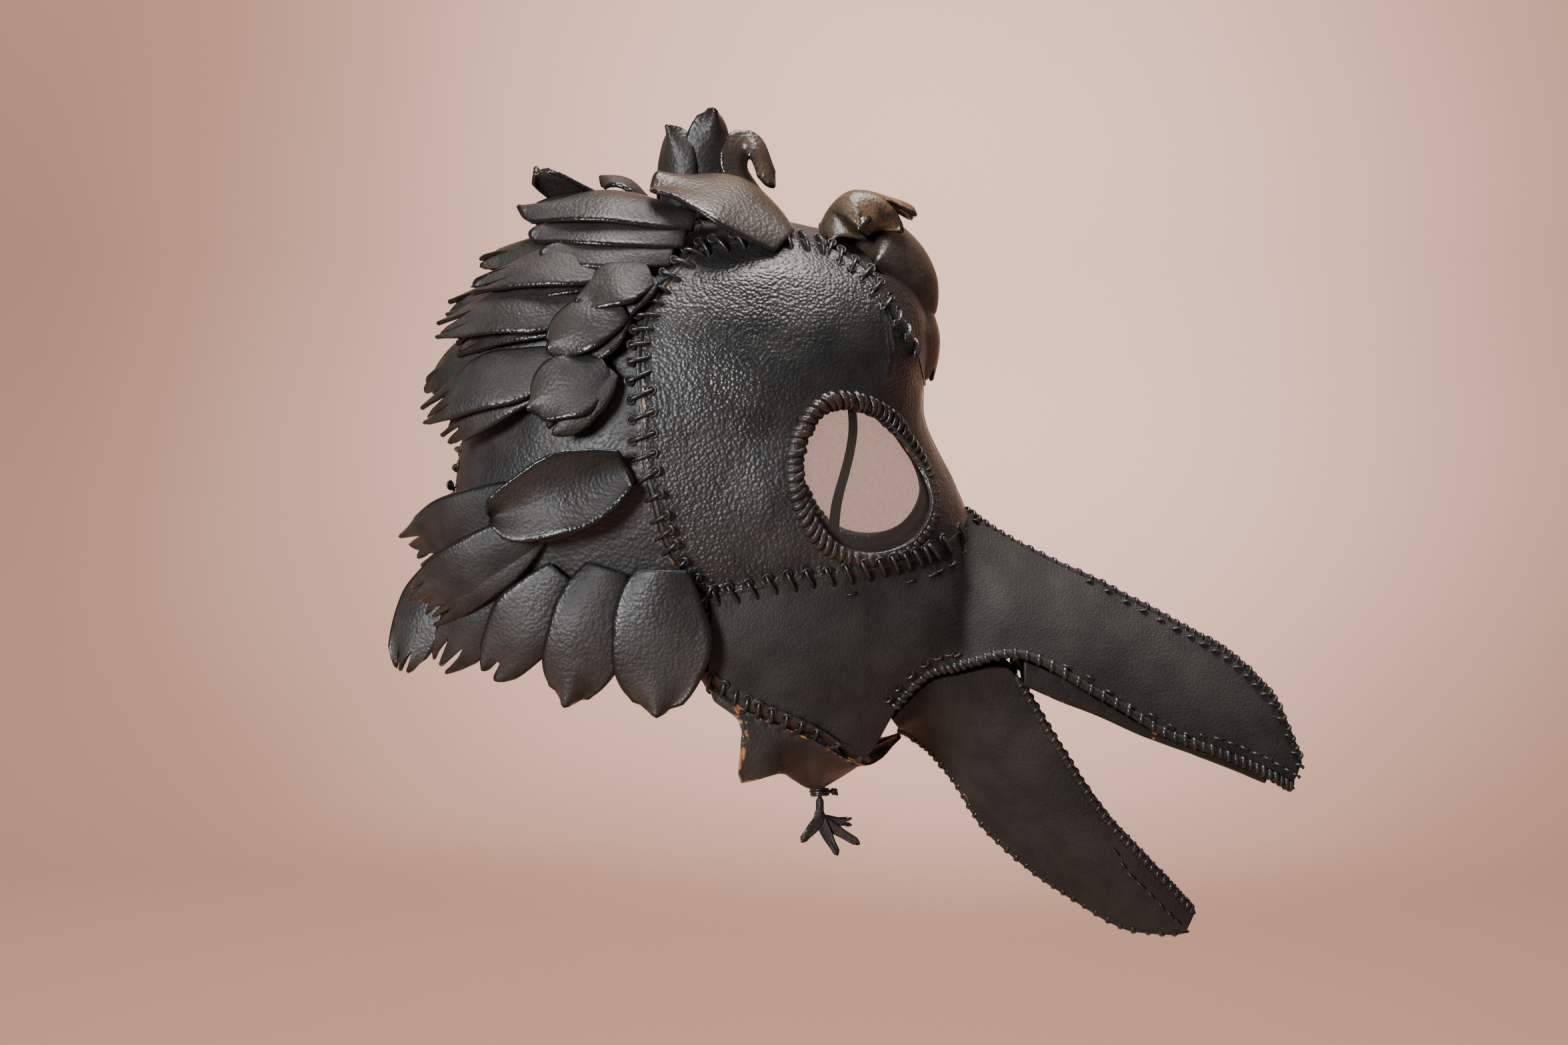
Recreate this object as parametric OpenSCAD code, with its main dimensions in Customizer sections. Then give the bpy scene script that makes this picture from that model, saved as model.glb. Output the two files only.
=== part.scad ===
// Plague doctor mask: a laced leather hood with an open crow beak and overlapping leather petals.
// +X points forward along the beak, +Y to the wearer's left, +Z up. The origin is the middle of the head.

/* [Head] */
// Inside length of the hood from brow to back of head
head_length = 228; // [200:1:275]
// Inside width of the hood at the temples
head_width = 172; // [144:1:208]
// Inside width of the hood at the neck
neck_width = 144; // [124:1:170]

/* [Beak] */
// Length of the upper beak from the nose root to its tip
beak_length = 170; // [130:1:210]
// Width of the beak across the corners of the mouth
mouth_width = 96; // [76:1:116]
// Length of the lower beak from the corner of the mouth to its tip
lower_beak_length = 155; // [125:1:190]

/* [Leather] */
// Thickness of the hood's leather
leather = 2.2; // [1.5:0.1:3]
// Gap left between the edges of two panels that are laced together
seam_gap = 0.8; // [0.4:0.1:1.6]
// Thickness of one petal
petal_leather = 1.8; // [1.2:0.1:2.4]
// Gap between a petal's root and the leather below it
petal_gap = 0.4; // [0.2:0.1:1]

/* [Eyes] */
// Size of the eye openings, as a multiple of their pattern
eye_size = 1; // [0.8:0.02:1.1]
// Width of the whipped rim round an eye
rim_width = 8.5; // [6:0.5:10]
// Depth of the whipped rim, front to back
rim_depth = 6.5; // [5:0.5:8]
// Thickness of the net behind an eye
screen_thickness = 0.5; // [0.3:0.1:1]
// Gap between the net and the leather in front of it
screen_gap = 0.3; // [0.1:0.1:0.6]
// How far the net reaches past the edge of the opening
screen_lap = 4; // [2:0.5:5]

/* [Lacing] */
// Thickness of the lacing thong
thong = 2; // [1.2:0.1:2.8]
// Distance from one stitch to the next
stitch_pitch = 8; // [6:0.5:12]
// Length of one stitch across a seam
stitch_length = 9; // [6:0.5:12]

/* [Throat tassel] */
// Length of the leather strips below the throat binding
tassel_length = 20; // [14:1:30]

/* [Hidden] */

black = [0.07, 0.066, 0.066];
charcoal = [0.14, 0.13, 0.13];
bronze = [0.25, 0.18, 0.11];

// ---- the head form: radius of the hood's middle profile every 30 degrees from +X towards +Z ----
ref_length = 228;
k_head = head_length / ref_length;
form_r = [113, 128, 113, 97, 95, 99, 111, 135, 185, 250, 215, 166] * k_head;
roundness = 2.3;
neck_start = -22 * k_head;
neck_drop = 120 * k_head;

function unit(v) = v / norm(v);
function lerp(a, b, t) = a + (b - a) * t;
function spline4(a, b, c, d, f) =
    0.5 * (2 * b + (c - a) * f + (2 * a - 5 * b + 4 * c - d) * f * f
        + (3 * b - a - 3 * c + d) * f * f * f);
function pick(p, i) = p[max(0, min(len(p) - 1, i))];
// Point at t from 0 to 1 on a smooth curve through the points p
function curve(p, t) =
    let (n = len(p) - 1, k = max(0, min(n - 1, floor(t * n))), f = t * n - k)
    spline4(pick(p, k - 1), pick(p, k), pick(p, k + 1), pick(p, k + 2), f);
// Value at angle a on a closed curve through values at equal angles
function ring_value(r, a) =
    let (n = len(r), s = (a / 360 - floor(a / 360)) * n, k = floor(s), f = s - k)
    spline4(r[(k + n - 1) % n], r[k % n], r[(k + 1) % n], r[(k + 2) % n], f);

function neck_share(z) = let (t = max(0, min(1, (neck_start - z) / neck_drop))) t * t * (3 - 2 * t);
function half_width(z) = (head_width - (head_width - neck_width) * neck_share(z)) / 2;
// A place on the hood is a pair f: its direction seen from the right, and how far round the head it is,
// 0 at the temple, 1 on the middle plane and 2 at the other temple.
function place(p) =
    let (a = atan2(p.y, p.x), rho = min(1, norm(p) / ring_value(form_r, a)))
    asin(pow(rho, roundness / 2)) / 90 * [cos(a), sin(a)];
function on_middle(a) = [cos(a), sin(a)];
function other_side(f) = f * (2 - norm(f)) / norm(f);
// The point at place f, raised by d from the inside face of the leather
function lift(f, d) =
    let (q = norm(f), a = atan2(f.y, f.x), s = sin(90 * q), c = cos(90 * q),
         r = (ring_value(form_r, a) + d) * pow(abs(s), 2 / roundness), z = r * sin(a))
    [r * cos(a), -(half_width(z) + d) * sign(c) * pow(abs(c), 2 / roundness), z];
function outward(f) = unit(lift(f, 4) - lift(f, 0));

// ---- seams of the hood, in the side view ----
function pattern(points) = [for (p = points) place(p * k_head)];
top_seam = pattern([[64, 86], [44, 89], [24, 88], [4, 84]]);
temple_seam = pattern([
    [4, 84], [-11, 67], [-20, 48], [-22, 26], [-21, -3], [-16, -33], [-8, -58], [10, -78]]);
cheek_marks = [[10, -78], [36, -73], [64, -69], [90, -65], [108, -61], [122, -55]];
cheek_seam = concat(pattern(cheek_marks), [on_middle(-17)]);
nose_line = [for (a = [-17:5:8]) on_middle(a)];
brow_seam = concat([on_middle(8)], pattern([[107, 36], [95, 56], [80, 76], [64, 86]]));
crown_end = atan2(84, 4);
back_line = [for (k = [0:5]) on_middle(lerp(crown_end, 214, k / 5))];

// ---- thin shells ----
function row_at(g, i, closed) = closed ? g[(i + len(g)) % len(g)] : pick(g, i);
function shell_normal(g, i, j, closed) =
    unit(cross(row_at(g, i + 1, closed)[j] - row_at(g, i - 1, closed)[j],
               pick(g[i], j + 1) - pick(g[i], j - 1)));

// Leather of thickness t on both sides of the grid of points g; a closed grid joins its last row to its first
module shell(g, t, closed = false) {
    rows = len(g);
    cols = len(g[0]);
    side = rows * cols;
    last = closed ? rows : rows - 1;
    points = [for (s = [1, -1]) for (i = [0:rows - 1]) for (j = [0:cols - 1])
        g[i][j] + s * t / 2 * shell_normal(g, i, j, closed)];
    function at(s, i, j) = s * side + (i % rows) * cols + j;
    faces = concat(
        [for (i = [0:last - 1]) for (j = [0:cols - 2]) for (f = [
            [at(0, i, j), at(0, i, j + 1), at(0, i + 1, j + 1)],
            [at(0, i, j), at(0, i + 1, j + 1), at(0, i + 1, j)],
            [at(1, i, j), at(1, i + 1, j + 1), at(1, i, j + 1)],
            [at(1, i, j), at(1, i + 1, j), at(1, i + 1, j + 1)]]) f],
        [for (i = [0:last - 1]) for (f = [
            [at(0, i, 0), at(0, i + 1, 0), at(1, i, 0)],
            [at(1, i, 0), at(0, i + 1, 0), at(1, i + 1, 0)],
            [at(0, i, cols - 1), at(1, i, cols - 1), at(0, i + 1, cols - 1)],
            [at(1, i, cols - 1), at(1, i + 1, cols - 1), at(0, i + 1, cols - 1)]]) f],
        closed ? [] : [for (j = [0:cols - 2]) for (f = [
            [at(0, 0, j), at(1, 0, j), at(0, 0, j + 1)],
            [at(1, 0, j), at(1, 0, j + 1), at(0, 0, j + 1)],
            [at(0, rows - 1, j), at(0, rows - 1, j + 1), at(1, rows - 1, j)],
            [at(1, rows - 1, j), at(0, rows - 1, j + 1), at(1, rows - 1, j + 1)]]) f]);
    polyhedron(points, faces);
}

// Sweeps an oval of half sizes a and b along a ring or path of [centre, direction of a, direction of b]
module swept_oval(path, a, b, closed = false, sides = 8) {
    n = len(path);
    last = closed ? n : n - 1;
    points = [for (p = path) for (k = [0:sides - 1])
        p[0] + a * cos(360 * k / sides) * p[1] + b * sin(360 * k / sides) * p[2]];
    function at(i, k) = (i % n) * sides + k % sides;
    faces = concat(
        [for (i = [0:last - 1]) for (k = [0:sides - 1]) for (f = [
            [at(i, k), at(i, k + 1), at(i + 1, k + 1)],
            [at(i, k), at(i + 1, k + 1), at(i + 1, k)]]) f],
        closed ? [] : [[for (k = [sides - 1:-1:0]) at(0, k)], [for (k = [0:sides - 1]) at(n - 1, k)]]);
    polyhedron(points, faces);
}

function long(c) = norm(lift(curve(c, 0.5), 0) - lift(curve(c, 0), 0))
    + norm(lift(curve(c, 1), 0) - lift(curve(c, 0.5), 0));
// n + 1 places along the curve c, kept half a seam gap inside both ends
function run(c, n, start = 0) =
    let (e = seam_gap / 2 / long(c)) [for (i = [0:n]) curve(c, lerp(max(e, start), 1 - e, i / n))];
// Grid between two lists of places on the hood, kept half a seam gap inside them
function between(a, b, nv) =
    [for (i = [0:len(a) - 1])
        let (e = seam_gap / 2 / norm(lift(a[i], 0) - lift(b[i], 0)))
        [for (j = [0:nv]) lift(lerp(a[i], b[i], lerp(e, 1 - e, j / nv)), leather / 2)]];
function across(a) = [for (f = a) other_side(f)];
// Smooth grid of nu by nv cells through a net of columns of points
function smooth_grid(net, nu, nv, eu = 0, ev = 0) =
    [for (i = [0:nu])
        let (u = lerp(eu, 1 - eu, i / nu),
             row = [for (r = [0:len(net[0]) - 1]) curve([for (c = net) c[r]], u)])
        [for (j = [0:nv]) curve(row, lerp(ev, 1 - ev, j / nv))]];
// Column of four points from top to bottom that bulges to the right by b
function column(top, bottom, b) =
    [for (v = [0:1 / 3:1.01]) lerp(top, bottom, v) - [0, b * sin(180 * v), 0]];

// ---- eyes ----
eye_centre = [84, -22] * k_head;
eye_r = [27, 23, 25, 31, 37, 34, 31, 31, 34, 36, 37, 34] * k_head * eye_size;
// Place on the edge of the eye opening in direction a, moved out by d
function eye_edge(a, d = 0) = place(eye_centre + (ring_value(eye_r, a) + d) * [cos(a), sin(a)]);

side_outline = concat(
    [for (i = [0:6]) curve(top_seam, i / 7)],
    [for (i = [0:15]) curve(temple_seam, i / 16)],
    [for (i = [0:13]) curve(cheek_seam, i / 14)],
    [for (i = [0:5]) curve(nose_line, i / 6)],
    [for (i = [0:8]) curve(brow_seam, i / 9)]);

module side_panel() color(black) {
    centre = place(eye_centre);
    grid = [for (f = side_outline)
        let (a = atan2(f.y - centre.y, f.x - centre.x), e = eye_edge(a),
             out = 1 - seam_gap / 2 / norm(lift(f, 0) - lift(e, 0)))
        [for (v = [0:0.2:1.01]) lift(lerp(e, f, v * out), leather / 2)]];
    shell(grid, leather, closed = true);
}

module eye_rim() color(charcoal) {
    path = [for (i = [0:43])
        let (a = 360 * i / 44, f = eye_edge(a, rim_width / 2 - 1), n = outward(f),
             along = unit(lift(eye_edge(a + 3, 3), 0) - lift(eye_edge(a - 3, 3), 0)))
        [lift(f, leather / 2), unit(cross(along, n)), n]];
    swept_oval(path, rim_width / 2, rim_depth / 2, closed = true);
}

module eye_screen() color("dimgray") {
    upper = [for (a = [172:-12:4]) eye_edge(a, screen_lap)];
    lower = [for (a = [188:12:356]) eye_edge(a, screen_lap)];
    grid = [for (i = [0:len(upper) - 1])
        [for (v = [0:1 / 6:1.01]) lift(lerp(upper[i], lower[i], v), -screen_gap - screen_thickness / 2)]];
    shell(grid, screen_thickness);
}

// A strap inside the left temple that crosses the view through the eyes
module inner_strap() color(black) {
    marks = [[76, 34], [82, 14], [84, -4], [80, -24], [74, -44], [72, -66]] * k_head;
    grid = [for (i = [0:10])
        let (p = curve(marks, i / 10), w = lerp(1.6, 3, i / 10))
        [for (s = [-1, 0, 1]) lift(other_side(place(p + [s * w, 0])), -4)]];
    shell(grid, 1.2);
}

// ---- hood panels ----
module forehead_panel() color(charcoal) {
    edge = run(brow_seam, 12, 0.08);
    shell(between(edge, across(edge), 8), leather);
}

module crown_panel() color(charcoal) {
    edge = run(top_seam, 8);
    shell(between(edge, across(edge), 12), leather);
}

module back_panel() color(charcoal) shell(between(run(temple_seam, 18), run(back_line, 18), 8), leather);

// ---- beaks ----
k_beak = beak_length / 170;
k_lower = lower_beak_length / 155;
k_mouth = mouth_width / 96;
k_width = head_width / 172;
ridge_offset = leather * 0.9;
nose_root = lift(on_middle(-17), 0);
mouth_corner = [158, -119];
// Side-view point of the upper beak, stretched along X from the nose root
function upper(x, z, y) = [nose_root.x + (x - 134) * k_beak, -y * k_mouth, z * k_head];
// Side-view point of the lower beak, stretched from the mouth's corner towards the tip
function lower(x, z, y) =
    let (k = x > mouth_corner.x ? k_lower : 1)
    [nose_root.x - 134 + mouth_corner.x + (x - mouth_corner.x) * k, -y * k_mouth,
     (mouth_corner.y + (z - mouth_corner.y) * k) * k_head];

// Ridge point, point on the lower edge and half width at each station of the upper beak
upper_stations = [
    [159, -59, 161, -110, 46], [202, -79, 198, -129, 38], [241, -99, 234, -151, 28],
    [269, -116, 262, -162, 18], [289, -136, 284, -171, 11], [304, -168, 300, -180, 5]];
// Top edge point, keel point and half width at each station of the lower beak
lower_stations = [
    [97, -139, 104, -151, 52], [115, -122, 111, -155, 50], [134, -118, 121, -163, 47],
    [150, -115.5, 134, -180, 44], [159, -121, 148, -202, 41], [180, -156, 169, -220, 33],
    [203, -191, 191, -236, 24], [228, -219, 218, -251, 14], [251, -244, 247, -254, 4]];
// Jaw line below the cheek, from under the ear to the front of the mouth seam
jaw_line = [
    [9, -116, 75], [30, -131, 73], [60, -144, 66], [84, -158, 54],
    [97, -135, 55], [115, -118, 53], [134, -114, 50]];

// The jaw follows the head at the back and the mouth at the front
function jaw_point(p) =
    [p.x * k_head, -p.z * lerp(k_width, k_mouth, max(0, min(1, (p.x - 60) / 50))), p.y * k_head];
function ridge_point(p) = [p.x, min(p.y, -ridge_offset), p.z];
cheek_net = concat(
    [for (t = [0:0.1:1.01])
        column(ridge_point(lift(curve(cheek_seam, t), leather / 2)),
               curve([for (p = jaw_line) jaw_point(p)], t), lerp(4, 11, t * t))],
    [for (s = upper_stations)
        column(upper(s[0], s[1], ridge_offset / k_mouth), upper(s[2], s[3], s[4]), s[4] * k_mouth * 0.22)]);

module cheek_beak_panel() color(black) shell(smooth_grid(cheek_net, 40, 8, 0.002, 0.005), leather);

module lower_beak_panel() color(black) {
    net = [for (s = lower_stations)
        column(lower(s[0], s[1], s[4]), lower(s[2], s[3], ridge_offset / k_mouth), s[4] * k_mouth * 0.22)];
    shell(smooth_grid(net, 26, 7), leather);
}

// Where the palate starts on the side, where it folds under, and its half width
palate_stations = [
    [162, -113, -124, 45.5], [180, -121, -132, 41.5], [198, -132, -139, 37.5], [234, -153.5, -156, 26.5],
    [262, -164.5, -167, 16.5], [286, -174.5, -177, 9]];
module palate_panel() color(black) {
    net = [for (s = palate_stations) [for (q = [
        [1, s[1]], [0.99, s[2]], [0.55, s[2] + 5], [0, s[2] + 7],
        [-0.55, s[2] + 5], [-0.99, s[2]], [-1, s[1]]])
        upper(s[0], q[1], q[0] * s[3])]];
    shell(smooth_grid(net, 16, 18), leather);
}

tongue_stations = [[155, -128, 36.5], [177, -161, 29], [200, -196, 20], [224, -224, 10.5], [243, -243, 3]];
module tongue_panel() color(black) {
    net = [for (s = tongue_stations) [for (q = [1, 0.5, 0, -0.5, -1])
        lower(s[0], s[1] - 4 * (1 - q * q), q * s[2])]];
    shell(smooth_grid(net, 12, 8), leather);
}

// Top point and half width, bottom point and half width at each station of the throat
throat_stations = [
    [8, -120, 74, 12, -128, 74], [20, -128.5, 73, 27, -142, 73], [32, -135.5, 72, 23, -168, 70],
    [46, -141.5, 69, 41, -163, 62], [62, -149, 63, 50, -171, 38], [84, -162, 48, 58, -179, 12],
    [104, -154, 3, 66, -178, 3]];
function throat_point(x, z, y) = [x * k_head, -y * k_width, z * k_head];
module throat_panel() color(black) {
    net = [for (s = throat_stations)
        column(throat_point(s[0], s[1], s[2]), throat_point(s[3], s[4], s[5]), 2)];
    shell(smooth_grid(net, 20, 6, 0.004, 0.02), leather);
}

// ---- lacing ----
module rod(c, v, length, d)
    translate(c) rotate([0, acos(v.z), atan2(v.y, v.x)]) cylinder(h = length, d = d, center = true, $fn = 16);

// Stitches along a seam c of places on the hood
module hood_lacing(c) {
    n = round(long(c) / stitch_pitch);
    for (i = [0:n - 1]) {
        t = (i + 0.5) / n;
        along = unit(lift(curve(c, t + 0.01), 0) - lift(curve(c, t - 0.01), 0));
        rod(lift(curve(c, t), leather + thong / 4), unit(cross(outward(curve(c, t)), along)),
            stitch_length, thong);
    }
}

// Stitches along a path of points, laid across the path on a surface that faces the direction n
module edge_lacing(path, n, pitch) {
    long = norm(curve(path, 0.5) - path[0]) + norm(curve(path, 0.5) - path[len(path) - 1]);
    count = round(long / pitch);
    for (i = [0:count - 1]) {
        t = (i + 0.5) / count;
        along = unit(curve(path, t + 0.01) - curve(path, t - 0.01));
        across = unit(cross(n, along));
        rod(curve(path, t) + (leather / 2 + thong / 4) * unit(n - (n * along) * along), across,
            stitch_length, thong);
    }
}

module crown_lacing() color(black) hood_lacing(top_seam);
module temple_lacing() color(black) hood_lacing(temple_seam);
module cheek_lacing() color(black) hood_lacing([for (t = [0:0.1:0.91]) curve(cheek_seam, t)]);
module brow_lacing() color(black) hood_lacing([for (t = [0.25:0.125:1.01]) curve(brow_seam, t)]);
module back_lacing() color(black) hood_lacing(back_line);
// The throat's thong starts under the ear, runs down behind the jaw and then forward round the throat
module throat_lacing() color(black) {
    behind_jaw = pattern([[7, -82], [6, -93], [5, -104], [6, -114]]);
    hood_lacing(behind_jaw);
    edge_lacing([for (s = throat_stations) if (s[0] < 100) throat_point(s[0], s[1] + 2, s[2])],
        [0.1, -1, -0.2], stitch_pitch);
}
module ridge_lacing() color(black)
    edge_lacing(concat([nose_root], [for (s = upper_stations) upper(s[0], s[1], 0)]),
        [0.5, 0, 1], stitch_pitch);
module palate_lacing() color(black)
    edge_lacing(concat([for (i = [4:6]) jaw_point(jaw_line[i])],
                       [for (s = upper_stations) upper(s[2], s[3], s[4])]),
        [0.2, -1, 0], stitch_pitch);
module lower_beak_lacing() color(black)
    edge_lacing([for (i = [4:8]) let (s = lower_stations[i]) lower(s[0], s[1], s[4])],
        [0.3, -1, 0], stitch_pitch);
module keel_lacing() color(black)
    edge_lacing([for (s = lower_stations) lower(s[2], s[3], 0)], [-0.5, 0, -1], stitch_pitch);

// ---- throat binding and tassel ----
binding_d = 10;
binding_h = 5.5;
tie = [63, 0, -183.5] * k_head;
cross_d = 1.8;
cross_play = 0.08;
root_d = 5;
root_play = 1;
root_length = 4.4;
neck_d = 4.4;
knob_h = 4;
knob_d = 5.5;

// The thong wound round the gathered throat leather, holed for the thong that crosses it
module throat_binding() color(black) translate(tie) difference() {
    cylinder(h = binding_h, d = binding_d, center = true, $fn = 48);
    cylinder(h = binding_h + 1, d = root_d + 2 * root_play, center = true, $fn = 48);
}
// The crossing thong that the tassel swings on, knotted in front
module throat_knot() color(charcoal) translate(tie) rotate([0, 90, 0]) {
    cylinder(h = binding_d + 1, d = cross_d, center = true, $fn = 32);
    translate([0, 0, binding_d / 2 + knob_h / 2]) cylinder(h = knob_h, d = knob_d, center = true, $fn = 32);
}
// End of each strip from the end of the tassel's neck, and its half width at the end
strip_ends = [[-9, -3, -12, 1.4], [9, -1, -19, 1.3], [20, 1.5, -14, 1.3], [16, 3.5, -4.5, 3.6]];
neck_length = 12;
module throat_tassel() color(charcoal) translate(tie) {
    difference() {
        union() {
            rotate([0, 90, 0]) cylinder(h = root_length, d = root_d, center = true, $fn = 48);
            translate([0, 0, -neck_length / 2 - 1])
                cylinder(h = neck_length, d = neck_d, center = true, $fn = 48);
        }
        rotate([0, 90, 0])
            cylinder(h = 2 * root_length, d = cross_d + 2 * cross_play, center = true, $fn = 32);
    }
    for (e = strip_ends) {
        root = [0, e.y * 0.35, -neck_length];
        tip = root + [e.x, e.y, e.z] * tassel_length / 20;
        path = [root + [0, 0, 2], root + [e.x * 0.05, 0, -2], lerp(root, tip, 0.5) + [0, 0, -1.5], tip];
        grid = [for (i = [0:6])
            let (s = i / 6, along = unit(curve(path, s + 0.02) - curve(path, s - 0.02)),
                 side = unit(cross([0.15, 1, 0], along)))
            [for (v = [-1, 0, 1]) curve(path, s) + v * lerp(1.9, e[3], s) * side]];
        shell(grid, petal_leather);
    }
}

// ---- leather petals ----
petal_outline = [0.55, 0.85, 1, 0.95, 0.75, 0.3];
// Grid of a petal of width w along path, cupped by cup and facing n
function petal_grid(path, w, n, cup) =
    [for (i = [0:6])
        let (s = i / 6, along = unit(curve(path, s + 0.02) - curve(path, s - 0.02)),
             side = unit(cross(n, along)), face = cross(along, side), half = w / 2 * curve(petal_outline, s))
        [for (v = [-1, -0.33, 0.33, 1]) curve(path, s) + v * half * side - cup * v * v * face]];
// A petal with its root at place f, raised by h, arching by rise on its way to the tip
module petal(f, h, tip, w, rise, cup = 3) {
    root = lift(f, leather + petal_gap + petal_leather / 2 + h);
    middle = (root + tip) / 2 + rise * outward(f);
    shell(petal_grid([root, lerp(root, middle, 0.55) + outward(f) * rise * 0.1, middle, lerp(middle, tip, 0.5)
        + outward(f) * rise * 0.2, tip], w, outward(f), cup), petal_leather);
}
// Root in side view, root height, tip x, y and z, width and rise of each petal in a row
module petals(list) color(charcoal) for (p = list)
    petal(place([p[0], p[1]] * k_head), p[2], [p[3] * k_head, p[4] * k_width, p[5] * k_head], p[6], p[7]);

row_1 = [[2, 90, 9.5, -84, -28, 106, 32, 7], [-2, 86, 6, -78, -38, 96, 30, 5],
    [-8, 81, 2, -72, -50, 86, 30, 4]];
row_2 = [[-26, 84, 0, -104, -20, 82, 26, 7], [-20, 74, 3.4, -106, -44, 69, 28, 9],
    [-17, 68, 7, -52, -74, 60, 28, 4]];
row_3 = [[-46, 66, 0, -120, -20, 58, 26, 8], [-40, 56, 3.4, -122, -44, 47, 28, 9],
    [-29, 54, 7, -66, -82, 38, 30, 4]];
row_4 = [[-62, 44, 0, -132, -26, 20, 26, 9], [-52, 32, 3.4, -128, -50, 6, 28, 10],
    [-35, 28, 7, -74, -89, 10, 32, 4]];
row_5 = [[-28, -16, 5, -94, -88, -40, 34, 5], [-76, -30, 0, -143, -18, -56, 26, 8],
    [-68, -44, 3.4, -136, -44, -82, 28, 9]];
row_6 = [[-80, -64, 0, -123, -38, -116, 32, 5], [-58, -66, 2.6, -98, -62, -116, 34, 5],
    [-37, -62, 5.4, -59, -78, -130, 38, 4], [-15, -62, 8.2, -20, -87, -134, 42, 2]];

module petal_row_1() petals(row_1);
module petal_row_2() petals(row_2);
module petal_row_3() petals(row_3);
module petal_row_4() petals(row_4);
module petal_row_5() petals(row_5);
module petal_row_6() petals(row_6);
module crown_feather() petals([[44, 88, 2, -18, -36, 121, 46, 9]]);
module nape_crest() color(charcoal) {
    petal(on_middle(108), 3, [-76, -28, 126] * k_head, 28, 3);
    petal(on_middle(104), 1, [-72, 30, 122] * k_head, 28, 3);
    petal(on_middle(98), 6, [-46, 2, 122] * k_head, 30, 8);
    petal(on_middle(208), 1, [-148, 2, -122] * k_head, 34, 6);
}
module crown_tuft() color(charcoal) {
    petal(on_middle(88), 2, [8, -4, 156] * k_head, 26, 0, cup = 5);
    petal(on_middle(95), 2, [-11, 5, 148] * k_head, 24, 0, cup = 5);
    petal(on_middle(82), 2, [14, 12, 146] * k_head, 18, 0, cup = 4);
}
module crown_curl() color(bronze)
    shaped_petal(on_middle(70), 2, [[22, 126], [23, 139], [32, 139], [40, 119]], 2, 18, [1, 0, 0.6], 2);
// A petal from place f, raised by h, along points in the side view at y to the left, facing n
module shaped_petal(f, h, points, y, w, n, cup) {
    path = concat([lift(f, leather + petal_gap + petal_leather / 2 + h)],
        [for (p = points) [p.x * k_head, y * k_width, p.y * k_head]]);
    shell(petal_grid(path, w, n, cup), petal_leather);
}
module brow_petals() color(bronze) {
    shaped_petal(on_middle(58), 1, [[93, 103], [110, 92], [120, 74], [121, 54]], 0, 44, [0.7, 0, 0.7], 1);
    shaped_petal(on_middle(29), 1, [[121, 48], [121, 36], [119, 23]], 0, 32, [1, 0, 0.3], 0.5);
}
module brow_curl() color(bronze)
    shaped_petal(place([66, 88] * k_head), 3, [[67, 104], [78, 114], [94, 111], [107, 101]],
        -26, 30, [-0.7, -0.2, 0.7], 3);

module left() mirror([0, 1, 0]) children();

side_panel();  // side_panel_right
left() side_panel();  // side_panel_left
forehead_panel();
crown_panel();
back_panel();  // back_panel_right
left() back_panel();  // back_panel_left
cheek_beak_panel();  // cheek_beak_panel_right
left() cheek_beak_panel();  // cheek_beak_panel_left
palate_panel();
lower_beak_panel();  // lower_beak_panel_right
left() lower_beak_panel();  // lower_beak_panel_left
tongue_panel();
throat_panel();  // throat_panel_right
left() throat_panel();  // throat_panel_left
eye_rim();  // eye_rim_right
left() eye_rim();  // eye_rim_left
eye_screen();  // eye_screen_right
left() eye_screen();  // eye_screen_left
inner_strap();
crown_lacing();  // crown_lacing_right
left() crown_lacing();  // crown_lacing_left
temple_lacing();  // temple_lacing_right
left() temple_lacing();  // temple_lacing_left
cheek_lacing();  // cheek_lacing_right
left() cheek_lacing();  // cheek_lacing_left
brow_lacing();  // brow_lacing_right
left() brow_lacing();  // brow_lacing_left
throat_lacing();  // throat_lacing_right
left() throat_lacing();  // throat_lacing_left
back_lacing();
ridge_lacing();
palate_lacing();  // palate_lacing_right
left() palate_lacing();  // palate_lacing_left
lower_beak_lacing();  // lower_beak_lacing_right
left() lower_beak_lacing();  // lower_beak_lacing_left
keel_lacing();
throat_binding();
throat_knot();
throat_tassel();
brow_petals();
brow_curl();  // brow_curl_right
left() brow_curl();  // brow_curl_left
crown_tuft();
crown_curl();
crown_feather();  // crown_feather_right
left() crown_feather();  // crown_feather_left
nape_crest();
petal_row_1();  // petal_row_1_right
left() petal_row_1();  // petal_row_1_left
petal_row_2();  // petal_row_2_right
left() petal_row_2();  // petal_row_2_left
petal_row_3();  // petal_row_3_right
left() petal_row_3();  // petal_row_3_left
petal_row_4();  // petal_row_4_right
left() petal_row_4();  // petal_row_4_left
petal_row_5();  // petal_row_5_right
left() petal_row_5();  // petal_row_5_left
petal_row_6();  // petal_row_6_right
left() petal_row_6();  // petal_row_6_left
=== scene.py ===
"""A plague doctor's mask: a laced black leather hood with an open crow's beak and rows of cut leather petals."""
import math
import random

import bmesh
import bpy
import numpy as np
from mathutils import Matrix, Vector, noise
from mathutils.bvhtree import BVHTree
from mathutils.kdtree import KDTree


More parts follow.
